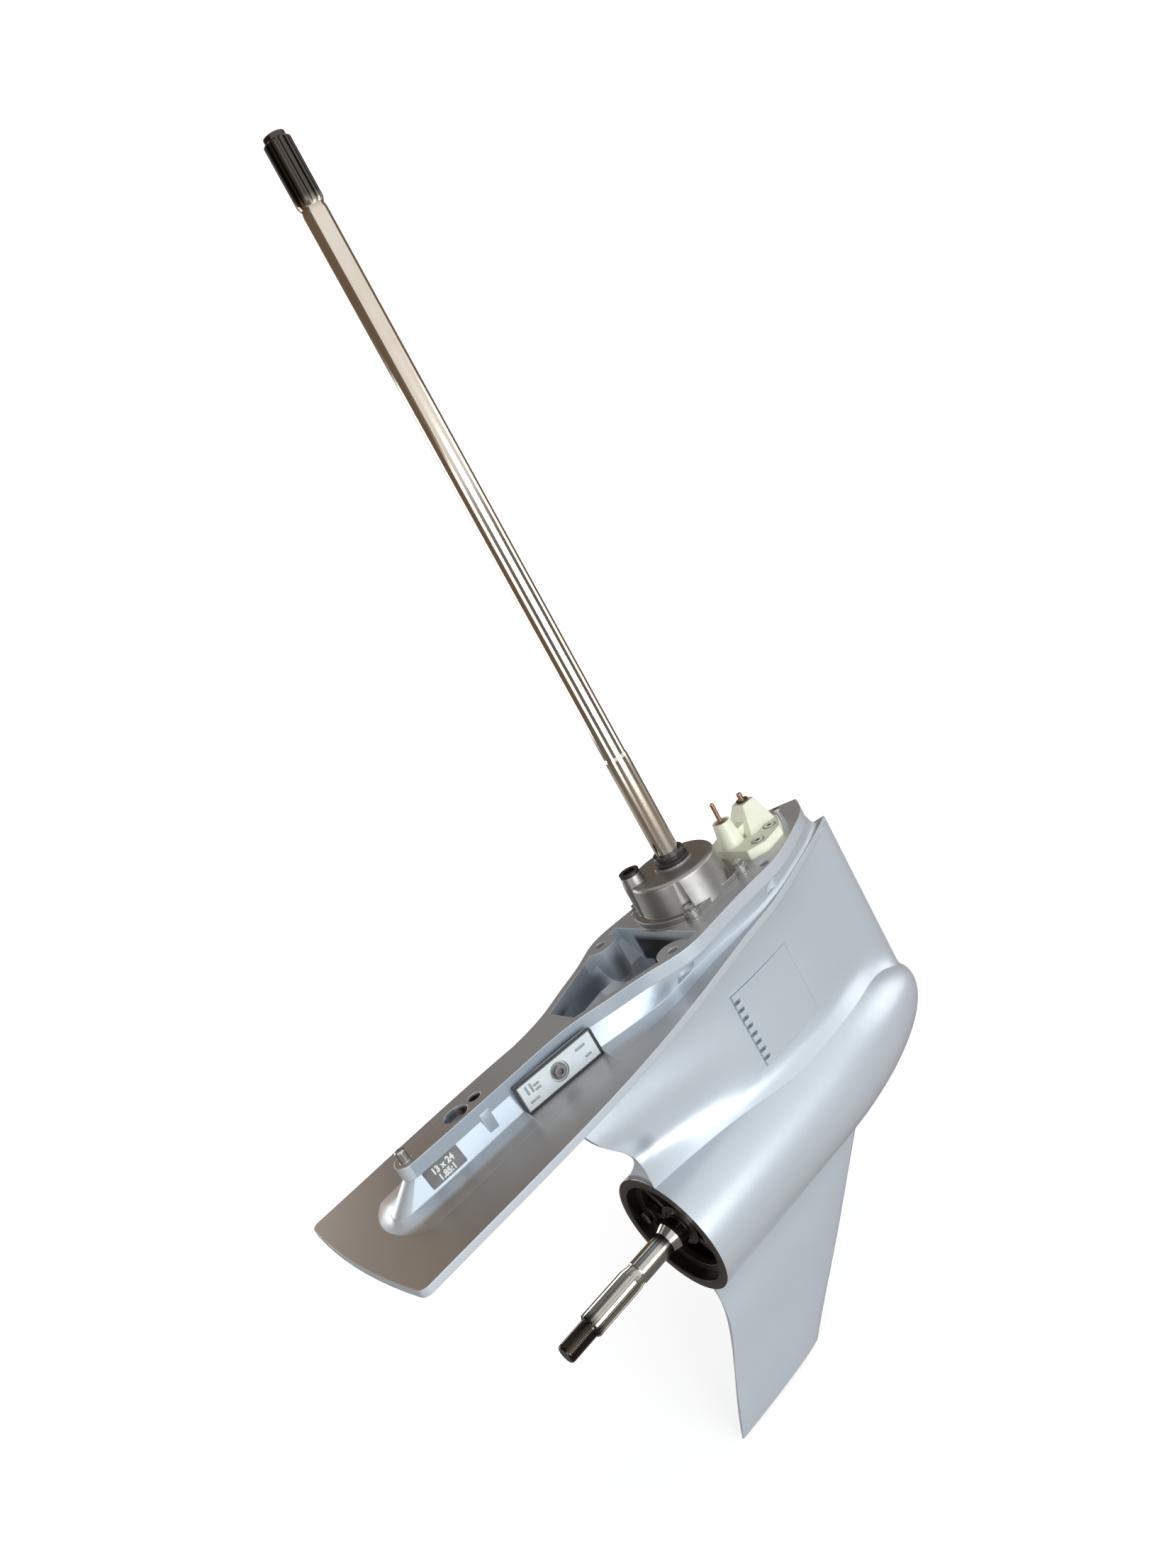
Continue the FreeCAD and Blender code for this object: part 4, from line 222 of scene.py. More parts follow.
print("flag faces:", len(flag.data.polygons))

# %% [markdown]
# ## Lamps
# Four large soft boxes stand low round the object, so that upright faces are bright and flat
# tops stay darker, as in the photograph. The key is on the starboard side.


# %% Lamps
def soft_box(name, place, aim, size, power, tint=(1.0, 1.0, 1.0)):
    """An area lamp that looks at a point."""
    bpy.ops.object.light_add(type="AREA", location=place)
    lamp = bpy.context.object
    lamp.name = name
    lamp.data.shape = "RECTANGLE"
    lamp.data.size, lamp.data.size_y = size
    lamp.data.energy = power
    lamp.data.color = tint
    lamp.rotation_euler = (Vector(aim) - Vector(place)).to_track_quat("-Z", "Y").to_euler()
    return lamp


COOL = (0.94, 0.98, 1.0)
soft_box("key_lamp", (-0.2, -1.9, -0.05), (0.0, 0.0, -0.15), (1.4, 0.9), 30.0, COOL)
soft_box("rear_lamp", (-1.7, -0.5, 0.0), (-0.1, 0.0, -0.2), (0.8, 0.8), 5.0)
soft_box("front_lamp", (1.6, -0.7, 0.1), (0.0, 0.0, -0.1), (0.9, 0.9), 6.0)
soft_box("port_lamp", (-0.5, 1.8, 0.15), (0.0, 0.0, -0.1), (1.2, 0.9), 13.0)
bpy.ops.object.select_all(action="DESELECT")
print("lamps:", len(bpy.data.lights))

# %% [markdown]
# ## Shared effects as node groups
# Cast metal, sprayed paint and moulded plastic all have a fine unevenness. It is the same idea
# with other numbers, so it is built once, as a group with named sockets. The grain comes from
# two sizes of noise on Object coordinates, which stay with the piece when it moves.


# %% The grain group
def new_group(name, inputs, outputs):
    """An empty node group. Inputs are (name, kind, value) and outputs are (name, kind)."""
    group = bpy.data.node_groups.new(name, "ShaderNodeTree")
    for label, kind, value in inputs:
        socket = group.interface.new_socket(label, in_out="INPUT", socket_type="NodeSocket" + kind)
        socket.default_value = value
    for label, kind in outputs:
        group.interface.new_socket(label, in_out="OUTPUT", socket_type="NodeSocket" + kind)
    start = group.nodes.new("NodeGroupInput")
    end = group.nodes.new("NodeGroupOutput")
    return group, start, end


grain, given, result = new_group(
    "surface_grain",
    [("Fine Scale", "Float", 900.0), ("Coarse Scale", "Float", 60.0), ("Base Roughness", "Float", 0.4),
     ("Spread", "Float", 0.1)],
    [("Height", "Float"), ("Roughness", "Float"), ("Clouds", "Float")])
place = add_node(grain, "TexCoord")
fine = add_node(grain, "TexNoise", Detail=3.0, Roughness=0.6)
coarse = add_node(grain, "TexNoise", Detail=4.0, Roughness=0.55)
join(grain, place.outputs["Object"], fine.inputs["Vector"])
join(grain, place.outputs["Object"], coarse.inputs["Vector"])
join(grain, given.outputs["Fine Scale"], fine.inputs["Scale"])
join(grain, given.outputs["Coarse Scale"], coarse.inputs["Scale"])
centred = add_node(grain, "Math", {"operation": "SUBTRACT"})
join(grain, coarse.outputs["Fac"], centred.inputs[0])
centred.inputs[1].default_value = 0.5
rough = add_node(grain, "Math", {"operation": "MULTIPLY_ADD"})
join(grain, centred.outputs[0], rough.inputs[0])
join(grain, given.outputs["Spread"], rough.inputs[1])
join(grain, given.outputs["Base Roughness"], rough.inputs[2])
join(grain, fine.outputs["Fac"], result.inputs["Height"])
join(grain, rough.outputs[0], result.inputs["Roughness"])
join(grain, coarse.outputs["Fac"], result.inputs["Clouds"])
print("group:", grain.name, "nodes:", len(grain.nodes))

# %% [markdown]
# Real edges are never razor sharp. The next group rounds the shading over every edge by a
# fraction of a millimetre, and gives a mask that is 1 on the edges. The recipes give the edges a
# lighter colour there: partly wear from handling, partly a painted highlight.

# %% The edge group
edges, given, result = new_group(
    "soft_edges",
    [("Radius", "Float", 0.0006), ("Strength", "Float", 4.0)],
    [("Normal", "Vector"), ("Edge", "Float")])
rounded = add_node(edges, "Bevel", {"samples": 4})
join(edges, given.outputs["Radius"], rounded.inputs["Radius"])
flat = add_node(edges, "NewGeometry")
same = add_node(edges, "VectorMath", {"operation": "DOT_PRODUCT"})
join(edges, rounded.outputs[0], same.inputs[0])
join(edges, flat.outputs["Normal"], same.inputs[1])
apart = add_node(edges, "Math", {"operation": "SUBTRACT"})
apart.inputs[0].default_value = 1.0
join(edges, same.outputs["Value"], apart.inputs[1])
scaled = add_node(edges, "Math", {"operation": "MULTIPLY", "use_clamp": True})
join(edges, apart.outputs[0], scaled.inputs[0])
join(edges, given.outputs["Strength"], scaled.inputs[1])
join(edges, rounded.outputs[0], result.inputs["Normal"])
join(edges, scaled.outputs[0], result.inputs["Edge"])
print("group:", edges.name, "nodes:", len(edges.nodes))


# %% [markdown]
# Deep recesses look dark on a real casting: little light gets in, and grime and old sealing
# compound gather there. The third group measures how enclosed a point is and gives a mask of the
# hollow places. The recipes darken them with one colour: grime, and painted shade.

# %% The hollows group
hollows, given, result = new_group(
    "hollow_places",
    [("Reach", "Float", 0.02), ("Start", "Float", 0.35), ("Full", "Float", 0.85)],
    [("Mask", "Float")])
open_sky = add_node(hollows, "AmbientOcclusion", {"samples": 6, "only_local": True})
join(hollows, given.outputs["Reach"], open_sky.inputs["Distance"])
closed = add_node(hollows, "Math", {"operation": "SUBTRACT"})
closed.inputs[0].default_value = 1.0
join(hollows, open_sky.outputs["AO"], closed.inputs[1])
spread_out = add_node(hollows, "MapRange", {"interpolation_type": "SMOOTHSTEP"})
join(hollows, closed.outputs[0], spread_out.inputs["Value"])
join(hollows, given.outputs["Start"], spread_out.inputs["From Min"])
join(hollows, given.outputs["Full"], spread_out.inputs["From Max"])
join(hollows, spread_out.outputs["Result"], result.inputs["Mask"])
print("group:", hollows.name, "nodes:", len(hollows.nodes))

# %% [markdown]
# ## One recipe for hard finishes
# Most finishes here differ in colour, in how metallic they are, in roughness and in grain. The
# recipe below wires the groups to a Principled shader. Numbers that are the same all over are
# set on the shader itself.


# %% The recipe
def place_group(tree, group, **inputs):
    """A copy of a group in a material, with its own values."""
    made = tree.nodes.new("ShaderNodeGroup")
    made.node_tree = group
    for name, value in inputs.items():
        made.inputs[name.replace("_", " ")].default_value = value
    return made


def blend_colour(tree, amount, below, above):
    """A colour mix. Each side is a colour or an output, and amount is an output."""
    made = add_node(tree, "Mix", {"data_type": "RGBA"})
    join(tree, amount, made.inputs["Factor"])
    for side, slot_number in ((below, 6), (above, 7)):
        if isinstance(side, tuple):
            made.inputs[slot_number].default_value = side
        else:
            join(tree, side, made.inputs[slot_number])
    return made.outputs[2]


def times(tree, output, factor):
    """An output made stronger or weaker."""
    made = add_node(tree, "Math", {"operation": "MULTIPLY"})
    join(tree, output, made.inputs[0])
    made.inputs[1].default_value = factor
    return made.outputs[0]


def soft_step(tree, output, low, high):
    """0 below low, 1 above high, and smooth in between. Low may be the larger one."""
    made = add_node(tree, "MapRange", {"interpolation_type": "SMOOTHSTEP"})
    turned_round = low > high
    made.inputs["From Min"].default_value = min(low, high)
    made.inputs["From Max"].default_value = max(low, high)
    made.inputs["To Min"].default_value = 1.0 if turned_round else 0.0
    made.inputs["To Max"].default_value = 0.0 if turned_round else 1.0
    join(tree, output, made.inputs["Value"])
    return made.outputs["Result"]


def finish_recipe(name, base, edge_wear_and_highlight, metallic, roughness, spread, fine_scale, coarse_scale, bump,
                  clouds, clouds_amount=0.6, edge_radius=0.0005, dirt_and_shade=None, reach=0.006,
                  streak=None, dark_end=None, mirror=False):
    """A material with grain, soft clouds of colour, edges lighter from wear and a painted highlight,
    and grime with painted shade in recesses.

    dark_end is (axis, where it starts, where it is full, colour) for the dull end of a shaft. A
    mirror finish takes no rounded normals, because they would look noisy in its reflections.
    """
    material = bpy.data.materials.new(name)
    material.use_nodes = True
    tree = material.node_tree
    shader = tree.nodes["Principled BSDF"]
    shader.inputs["Metallic"].default_value = metallic
    texture = place_group(tree, grain, Fine_Scale=fine_scale, Coarse_Scale=coarse_scale,
                          Base_Roughness=roughness, Spread=spread)
    rim = place_group(tree, edges, Radius=edge_radius)
    colour = blend_colour(tree, times(tree, texture.outputs["Clouds"], clouds_amount), base, clouds)
    if streak:
        along, dark, amount = streak
        where = add_node(tree, "TexCoord")
        squeeze = add_node(tree, "Mapping", Scale=along)
        drawn = add_node(tree, "TexNoise", Scale=1.0, Detail=3.0)
        join(tree, where.outputs["Object"], squeeze.inputs["Vector"])
        join(tree, squeeze.outputs[0], drawn.inputs["Vector"])
        colour = blend_colour(tree, times(tree, drawn.outputs["Fac"], amount), colour, dark)
    # Lighter edges: wear, and a painted highlight.
    colour = blend_colour(tree, rim.outputs["Edge"], colour, edge_wear_and_highlight)
    if dark_end:
        axis, start, full, dull = dark_end
        here = add_node(tree, "TexCoord")
        parts = add_node(tree, "SeparateXYZ")
        join(tree, here.outputs["Object"], parts.inputs[0])
        colour = blend_colour(tree, soft_step(tree, parts.outputs[axis], start, full), colour, dull)
    # Grime and painted shade in recesses, in one colour.
    if dirt_and_shade:
        deep = place_group(tree, hollows, Reach=reach)
        colour = blend_colour(tree, deep.outputs["Mask"], colour, dirt_and_shade)
    join(tree, colour, shader.inputs["Base Color"])
    join(tree, texture.outputs["Roughness"], shader.inputs["Roughness"])
    relief = add_node(tree, "Bump", Strength=1.0, Distance=bump)
    join(tree, texture.outputs["Height"], relief.inputs["Height"])
    if not mirror:
        join(tree, rim.outputs["Normal"], relief.inputs["Normal"])
    join(tree, relief.outputs[0], shader.inputs["Normal"])
    return material


# %% [markdown]
# ## Metals
# Bare castings are satin and cloudy. Turned shafts are nearly mirrors, with faint lines along
# them from drawing and grinding, and a straw tint from heat treatment. Their splined and threaded
# ends are dull. Gears are darker, because they are case-hardened and oily.

# %% Metal finishes
# Dark colour for the recesses of oily parts: oil, and painted shade.
OIL_AND_SHADE = shade(46, 40, 34)
cast = finish_recipe("cast_metal", shade(160, 160, 158), shade(226, 226, 222), 0.9, 0.38, 0.25,
                     1400.0, 90.0, 0.00010, shade(120, 112, 104), dirt_and_shade=shade(60, 52, 44),
                     edge_radius=0.0008)
# The bearing carrier sits deep in the bore. Its dark colour is painted shade, and its recesses get a darker
# painted shade.
shaded_carrier = finish_recipe("carrier_painted_shade", shade(74, 66, 60), shade(150, 142, 134), 0.75, 0.42, 0.25,
                     1400.0, 120.0, 0.00012, shade(40, 34, 30), dirt_and_shade=shade(14, 11, 9), reach=0.012)
drive = finish_recipe("drive_shaft_finish", shade(238, 232, 222), shade(244, 240, 232), 1.0, 0.12, 0.04,
                      700.0, 30.0, 0.0000006, shade(196, 176, 148), 0.5,
                      streak=((300.0, 300.0, 3.0), shade(150, 132, 110), 0.25),
                      dark_end=("Z", 0.586, 0.600, shade(84, 78, 72)), mirror=True)
turned = finish_recipe("propeller_shaft_finish", shade(222, 220, 212), shade(240, 238, 232), 1.0, 0.16,
                       0.10, 700.0, 60.0, 0.00001, shade(150, 140, 124), 0.6, dirt_and_shade=shade(64, 60, 52),
                       reach=0.0022,
                       streak=((6.0, 500.0, 500.0), shade(96, 88, 78), 0.35),
                       dark_end=("X", -0.262, -0.274, shade(62, 56, 50)), mirror=True)
gear = finish_recipe("gear_steel_finish", shade(150, 150, 152), shade(206, 206, 210), 1.0, 0.28, 0.15,
                     900.0, 60.0, 0.00003, shade(104, 98, 92), dirt_and_shade=OIL_AND_SHADE)
bearing = finish_recipe("bearing_steel_finish", shade(202, 204, 208), shade(228, 230, 232), 1.0, 0.15, 0.08,
                        900.0, 60.0, 0.00001, shade(170, 168, 164), dirt_and_shade=OIL_AND_SHADE)
bright = finish_recipe("stainless_finish", shade(204, 206, 208), shade(236, 238, 240), 1.0, 0.22, 0.15,
                       900.0, 70.0, 0.00002, shade(150, 146, 140), dirt_and_shade=shade(70, 64, 58), reach=0.003)
bronze = finish_recipe("bronze_finish", shade(176, 132, 84), shade(222, 184, 130), 1.0, 0.30, 0.15, 900.0,
                       80.0, 0.00003, shade(130, 92, 58), dirt_and_shade=OIL_AND_SHADE)
copper = finish_recipe("copper_finish", shade(206, 164, 140), shade(238, 210, 190), 1.0, 0.24, 0.15,
                       900.0, 80.0, 0.00002, shade(150, 110, 88), dirt_and_shade=shade(60, 44, 34), reach=0.003)
print("metals:", len(bpy.data.materials))

# %% [markdown]
# ## Rubber, plastic, zinc and gasket board
# The soft and cast small parts are matt. The bracket is an off-white moulding, yellowed by oil,
# and the anodes are pale grey zinc with a skin of white oxide.

# %% Other finishes
rubber = finish_recipe("rubber_finish", shade(36, 34, 32), shade(84, 80, 76), 0.0, 0.42, 0.2, 1500.0, 120.0,
                       0.00006, shade(22, 21, 20), dirt_and_shade=shade(8, 7, 6), reach=0.003)
plastic = finish_recipe("bracket_finish", shade(247, 249, 230), shade(252, 253, 242), 0.0, 0.36, 0.1,
                        1200.0, 70.0, 0.00005, shade(212, 212, 182), dirt_and_shade=shade(120, 116, 92), reach=0.004,
                        edge_radius=0.0007)
zinc = finish_recipe("anode_finish", shade(212, 219, 222), shade(240, 244, 245), 0.25, 0.55, 0.2,
                     700.0, 140.0, 0.00018, shade(182, 190, 194), dirt_and_shade=shade(84, 90, 94), reach=0.003)
fibre = finish_recipe("gasket_finish", shade(128, 118, 98), shade(160, 148, 122), 0.0, 0.8, 0.1,
                      1200.0, 150.0, 0.0001, shade(100, 90, 72))
ink = finish_recipe("label_ink", shade(20, 20, 22), shade(52, 52, 54), 0.0, 0.28, 0.06, 2000.0,
                    90.0, 0.00001, shade(30, 30, 32))
mark_white = finish_recipe("label_marks", shade(226, 228, 228), shade(240, 240, 240), 0.0, 0.4, 0.1,
                           2000.0, 200.0, 0.00001, shade(190, 192, 192))
print("finishes:", len(bpy.data.materials))

# %% [markdown]
# ## Silver paint on the casting
# The casting is sprayed with a silver enamel: small metal flakes under a thin clear coat.
# Sharp creases get a lighter colour, a painted highlight. The flat tops of the deck and the
# plate get a brown tone, a painted reflection of a dim brown room. The walls above the plate get
# a bluish grey painted shade, the exhaust duct and the bore a nearly black one, and the tab holes
# a brown one. The machined end of the gearcase is darkened too, a painted dark reflection. Each
# of these places is a mask made from the position or the normal in Object coordinates, so it
# stays with the casting in every view.


# %% Paint masks
def both_of(tree, *masks):
    """The product of some masks."""
    total = masks[0]
    for mask in masks[1:]:
        made = add_node(tree, "Math", {"operation": "MULTIPLY"})
        join(tree, total, made.inputs[0])
        join(tree, mask, made.inputs[1])
        total = made.outputs[0]
    return total


def between(tree, output, low, high, soft):
    """1 from low to high, with a soft border outside each end. Each border has its own width."""
    return both_of(tree, soft_step(tree, output, low - soft[0], low),
                   soft_step(tree, output, high + soft[1], high))


def size_of(tree, output):
    """The value without its sign."""
    made = add_node(tree, "Math", {"operation": "ABSOLUTE"})
    join(tree, output, made.inputs[0])
    return made.outputs[0]


# %% [markdown]
# The places are written down once, in metres. Most pairs say where a mask is 0 and where it is 1.
# Those of the plate and of the tab's holes say from where to where, and those of the duct's walls
# are two points of (x, half width).

# %% Places on the casting
PROP_Z = -0.208
PLATE_Z = (-0.0322, -0.0305)
DECK_Z = (-0.0012, -0.0006)
FACING_UP, FACING_SIDE, FACING_REAR = (0.97, 0.995), (0.85, 0.97), (-0.80, -0.95)
REFLECTION_FROM_X, REFLECTION_TO_X = -0.36, -0.16
WALL_SHADE_X = (-0.060, -0.100)
WALL_FOOT_Z = (-0.0320, -0.0280)
DUCT_REAR_X, DUCT_FRONT_X = (-0.170, -0.140), (-0.040, -0.045)
DUCT_TOP_Z, DUCT_FOOT_Z = (-0.004, -0.012), (-0.155, -0.150)
ABOVE_PLATE_Z, BELOW_PLATE_Z = (-0.0310, -0.0300), (-0.0300, -0.0310)
UPPER_WALL = ((-0.209, 0.012), (-0.090, 0.036))
LOWER_WALL = ((-0.135, 0.0085), (-0.045, 0.0262))
WALL_BORDER = 0.005
TAB_HOLES_X, TAB_HOLES_Z = (-0.280, -0.245), (-0.0280, -0.0030)
TAB_HOLES_HALF = 0.0104
BORE_R, BORE_X = (0.0520, 0.0500), (-0.080, -0.085)
REAR_RING_R, REAR_RING_X = (0.060, 0.058), (-0.168, -0.171)
print("machined bore inside radius:", BORE_R[1])

# %% [markdown]
# The paint is mixed from below: the silver with its clouds, then the painted reflection on the
# flat tops and the painted shade on the walls, the painted highlight on the creases, the painted
# shade in the duct and the tab holes, and the darkened machined end.

# %% Paint
PAINT_BUMP = 0.00002
paint = bpy.data.materials.new("silver_paint")
paint.use_nodes = True
tree = paint.node_tree
shader = tree.nodes["Principled BSDF"]
shader.inputs["Metallic"].default_value = 0.28
shader.inputs["Coat Weight"].default_value = 0.22
shader.inputs["Coat Roughness"].default_value = 0.22
where = add_node(tree, "TexCoord")
spot = add_node(tree, "SeparateXYZ")
join(tree, where.outputs["Object"], spot.inputs[0])
spot_x, spot_y, spot_z = (spot.outputs[axis] for axis in "XYZ")
facing = add_node(tree, "SeparateXYZ")
join(tree, where.outputs["Normal"], facing.inputs[0])
texture = place_group(tree, grain, Fine_Scale=3000.0, Coarse_Scale=18.0, Base_Roughness=0.34, Spread=0.10)
rim = place_group(tree, edges, Radius=0.0011, Strength=3.5)
colour = blend_colour(tree, times(tree, texture.outputs["Clouds"], 0.6), shade(204, 212, 220),
                      shade(188, 196, 204))

# %% [markdown]
# The flat tops get a brown painted reflection that is strongest at the tail. The walls above
# the plate get a bluish grey painted shade. The painted highlight on the creases is mixed over both.

# %% Painted reflection on the flat tops and painted shade on the walls
on_plate = between(tree, spot_z, *PLATE_Z, soft=(0.0008, 0.0010))
plate_or_deck = add_node(tree, "Math", {"operation": "MAXIMUM"})
join(tree, on_plate, plate_or_deck.inputs[0])
join(tree, soft_step(tree, spot_z, *DECK_Z), plate_or_deck.inputs[1])
flat_top = both_of(tree, soft_step(tree, facing.outputs["Z"], *FACING_UP), plate_or_deck.outputs[0])
towards_tail = add_node(tree, "MapRange", {"interpolation_type": "SMOOTHSTEP"}, From_Min=REFLECTION_FROM_X,
                        From_Max=REFLECTION_TO_X, To_Min=0.85, To_Max=0.35)
join(tree, spot_x, towards_tail.inputs["Value"])
brown_reflection = both_of(tree, flat_top, towards_tail.outputs["Result"])
# Painted reflection: a brown tone on the flat tops.
colour = blend_colour(tree, brown_reflection, colour, shade(146, 126, 104))
wall_shade = both_of(tree, soft_step(tree, size_of(tree, facing.outputs["Y"]), *FACING_SIDE),
                    soft_step(tree, spot_x, *WALL_SHADE_X),
                    soft_step(tree, spot_z, *WALL_FOOT_Z))
# Painted shade: a bluish grey on the walls above the plate, towards the tail.
colour = blend_colour(tree, times(tree, wall_shade, 0.85), colour, shade(136, 148, 160))
# Painted highlight on the creases.
colour = blend_colour(tree, rim.outputs["Edge"], colour, shade(238, 243, 247))
across = size_of(tree, spot_y)
print("paint nodes with the films:", len(tree.nodes))

# %% [markdown]
# The exhaust duct narrows towards the rear, and its inside gets painted shade. For its part
# above the plate and its part below, a line from the rear to the front gives half the width of
# the shaded place.


# %% Painted shade in the duct and the tab holes
def inside_wall(rear, front):
    """1 where a point is nearer the middle than a line given by (x, half width) at each end."""
    line = add_node(tree, "MapRange", From_Min=rear[0], From_Max=front[0], To_Min=rear[1],
                    To_Max=front[1])
    join(tree, spot_x, line.inputs["Value"])
    room = add_node(tree, "Math", {"operation": "SUBTRACT"})
    join(tree, line.outputs["Result"], room.inputs[0])
    join(tree, across, room.inputs[1])
    return soft_step(tree, room.outputs[0], 0.0, WALL_BORDER)


along_duct = both_of(tree, soft_step(tree, spot_x, *DUCT_REAR_X), soft_step(tree, spot_x, *DUCT_FRONT_X))
upper_duct_shade = both_of(tree, inside_wall(*UPPER_WALL), along_duct, soft_step(tree, spot_z, *DUCT_TOP_Z),
                     soft_step(tree, spot_z, *ABOVE_PLATE_Z))
lower_duct_shade = both_of(tree, inside_wall(*LOWER_WALL), along_duct, soft_step(tree, spot_z, *BELOW_PLATE_Z),
                     soft_step(tree, spot_z, *DUCT_FOOT_Z))
tab_hole_shade = both_of(tree, inside_wall(*((x, TAB_HOLES_HALF) for x in TAB_HOLES_X)),
                     between(tree, spot_x, *TAB_HOLES_X, soft=(0.001, 0.001)),
                     between(tree, spot_z, *TAB_HOLES_Z, soft=(0.001, 0.0022)))
# Painted shade in the duct above the plate, in the tab holes and in the duct below the plate.
colour = blend_colour(tree, upper_duct_shade, colour, shade(30, 26, 24))
colour = blend_colour(tree, tab_hole_shade, colour, shade(96, 70, 44))
colour = blend_colour(tree, lower_duct_shade, colour, shade(26, 22, 20))
print("paint nodes with the hollows:", len(tree.nodes))

# %% [markdown]
# The machined places are round, so they are masked by their distance from the propeller shaft's
# axis.

# %% The machined rear end
axis_point = add_node(tree, "CombineXYZ")
from_axis = add_node(tree, "Math", {"operation": "ADD"})
join(tree, spot_z, from_axis.inputs[0])
from_axis.inputs[1].default_value = -PROP_Z
join(tree, spot_y, axis_point.inputs[0])
join(tree, from_axis.outputs[0], axis_point.inputs[1])
off_axis = add_node(tree, "VectorMath", {"operation": "LENGTH"})
join(tree, axis_point.outputs[0], off_axis.inputs[0])
bore_shade = both_of(tree, soft_step(tree, off_axis.outputs["Value"], *BORE_R),
                  soft_step(tree, spot_x, *BORE_X))
rear_face = both_of(tree, soft_step(tree, facing.outputs["X"], *FACING_REAR),
                    soft_step(tree, spot_x, *REAR_RING_X),
                    soft_step(tree, off_axis.outputs["Value"], *REAR_RING_R))
# Painted dark reflection on the machined rear face, and painted shade in the bore.
colour = blend_colour(tree, rear_face, colour, shade(50, 42, 34))
colour = blend_colour(tree, bore_shade, colour, shade(24, 20, 17))
join(tree, colour, shader.inputs["Base Color"])
join(tree, texture.outputs["Roughness"], shader.inputs["Roughness"])
relief = add_node(tree, "Bump", Strength=1.0, Distance=PAINT_BUMP)
join(tree, texture.outputs["Height"], relief.inputs["Height"])
join(tree, rim.outputs["Normal"], relief.inputs["Normal"])
join(tree, relief.outputs[0], shader.inputs["Normal"])
print("paint nodes:", len(tree.nodes))

# %% [markdown]
# ## Dress the CAD nodes
# The record says which finish each node takes. Its slot name picks the material, and a few
# nodes get a finish of their own.

# %% Assign finishes
FINISHES = {
    "gearcase_paint": paint, "cast_aluminium": cast, "shaft_steel": drive, "gear_steel": gear,
    "bearing_steel": bearing, "stainless": bright, "bronze": bronze, "coppered_steel": copper,
    "black_rubber": rubber, "bracket_plastic": plastic, "anode_zinc": zinc, "fibre": fibre,
}
OWN_FINISH = {"prop_shaft": turned, "bearing_carrier": shaded_carrier}
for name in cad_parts:
    if name.startswith("anode_bolt"):
        OWN_FINISH[name] = gear
for name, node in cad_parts.items():
    kind = node.data.materials[0].name.split(".")[0]
    node.data.materials[0] = OWN_FINISH.get(name, FINISHES[kind])
print("dressed", len(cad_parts), "nodes")

# %% [markdown]
# ## Small pieces that the CAD leaves out
# The next cells model what is too fine for the CAD source. Each piece starts as a primitive at
# its size and place, gets its form in edit mode, and rides on the body that carries it.


# %% Helpers for pieces
MERGE_DISTANCE = 0.000002
SMOOTH_DEG = 35.0


def begin(add, **settings):
    """Start a piece with a primitive and nothing else selected."""
    bpy.ops.object.select_all(action="DESELECT")
    add(**settings)
    return bpy.context.object


def apply_modifier(piece, kind, **settings):
    """Add a modifier with its settings and bake it into the mesh."""
    made = piece.modifiers.new(kind.lower(), kind)
    for name, value in settings.items():
        setattr(made, name, value)
    bpy.ops.object.modifier_apply(modifier=made.name)


def end(piece, name, material, slot_name, body="housing"):
    """Bring the piece's place into its mesh, shade it, dress it and let it ride on a body."""
    bpy.ops.object.transform_apply(location=True, rotation=True, scale=True)
    bpy.ops.object.mode_set(mode="EDIT")
    bpy.ops.mesh.select_all(action="SELECT")
    bpy.ops.mesh.remove_doubles(threshold=MERGE_DISTANCE)
    bpy.ops.mesh.normals_make_consistent(inside=False)
    bpy.ops.object.mode_set(mode="OBJECT")
    bpy.ops.object.shade_smooth_by_angle(angle=math.radians(SMOOTH_DEG))
    piece.name = name
    piece.data.materials.clear()
    piece.data.materials.append(material)
    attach(piece, body)


def edit(*steps):
    """Do some steps in edit mode on everything that is selected there."""
    bpy.ops.object.mode_set(mode="EDIT")
    bpy.ops.mesh.select_all(action="SELECT")
    for step in steps:
        step()
    bpy.ops.object.mode_set(mode="OBJECT")


def sized(piece, size):
    """Give a primitive of size 1 its real size, with its place and turn, in its mesh."""
    piece.scale = size
    bpy.ops.object.transform_apply(location=True, rotation=True, scale=True)


def lay_on_wall(piece, lift, thick):
    """Project a flat piece on the starboard wall, this far off it, and thicken it."""
    apply_modifier(piece, "SHRINKWRAP", target=casting, wrap_method="PROJECT", use_project_y=True,
                   use_positive_direction=True, use_negative_direction=False, offset=lift)
    apply_modifier(piece, "SOLIDIFY", thickness=thick, offset=0.0)


def side_name(side):
    return "port" if side > 0 else "starboard"


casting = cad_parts["gearcase_housing"]
UPRIGHT = (math.radians(90.0), 0.0, 0.0)
print("small pieces ride on:", casting.name)

# %% [markdown]
# ## The label
# The black label is a thin sheet that follows the wall. A grid is projected on the casting, and
# its corner points are bevelled, so that the corners are round. Its two rows give the gears'
# teeth, 13 and 24, and their ratio: plain figures, turned to a mesh and laid on the sheet.

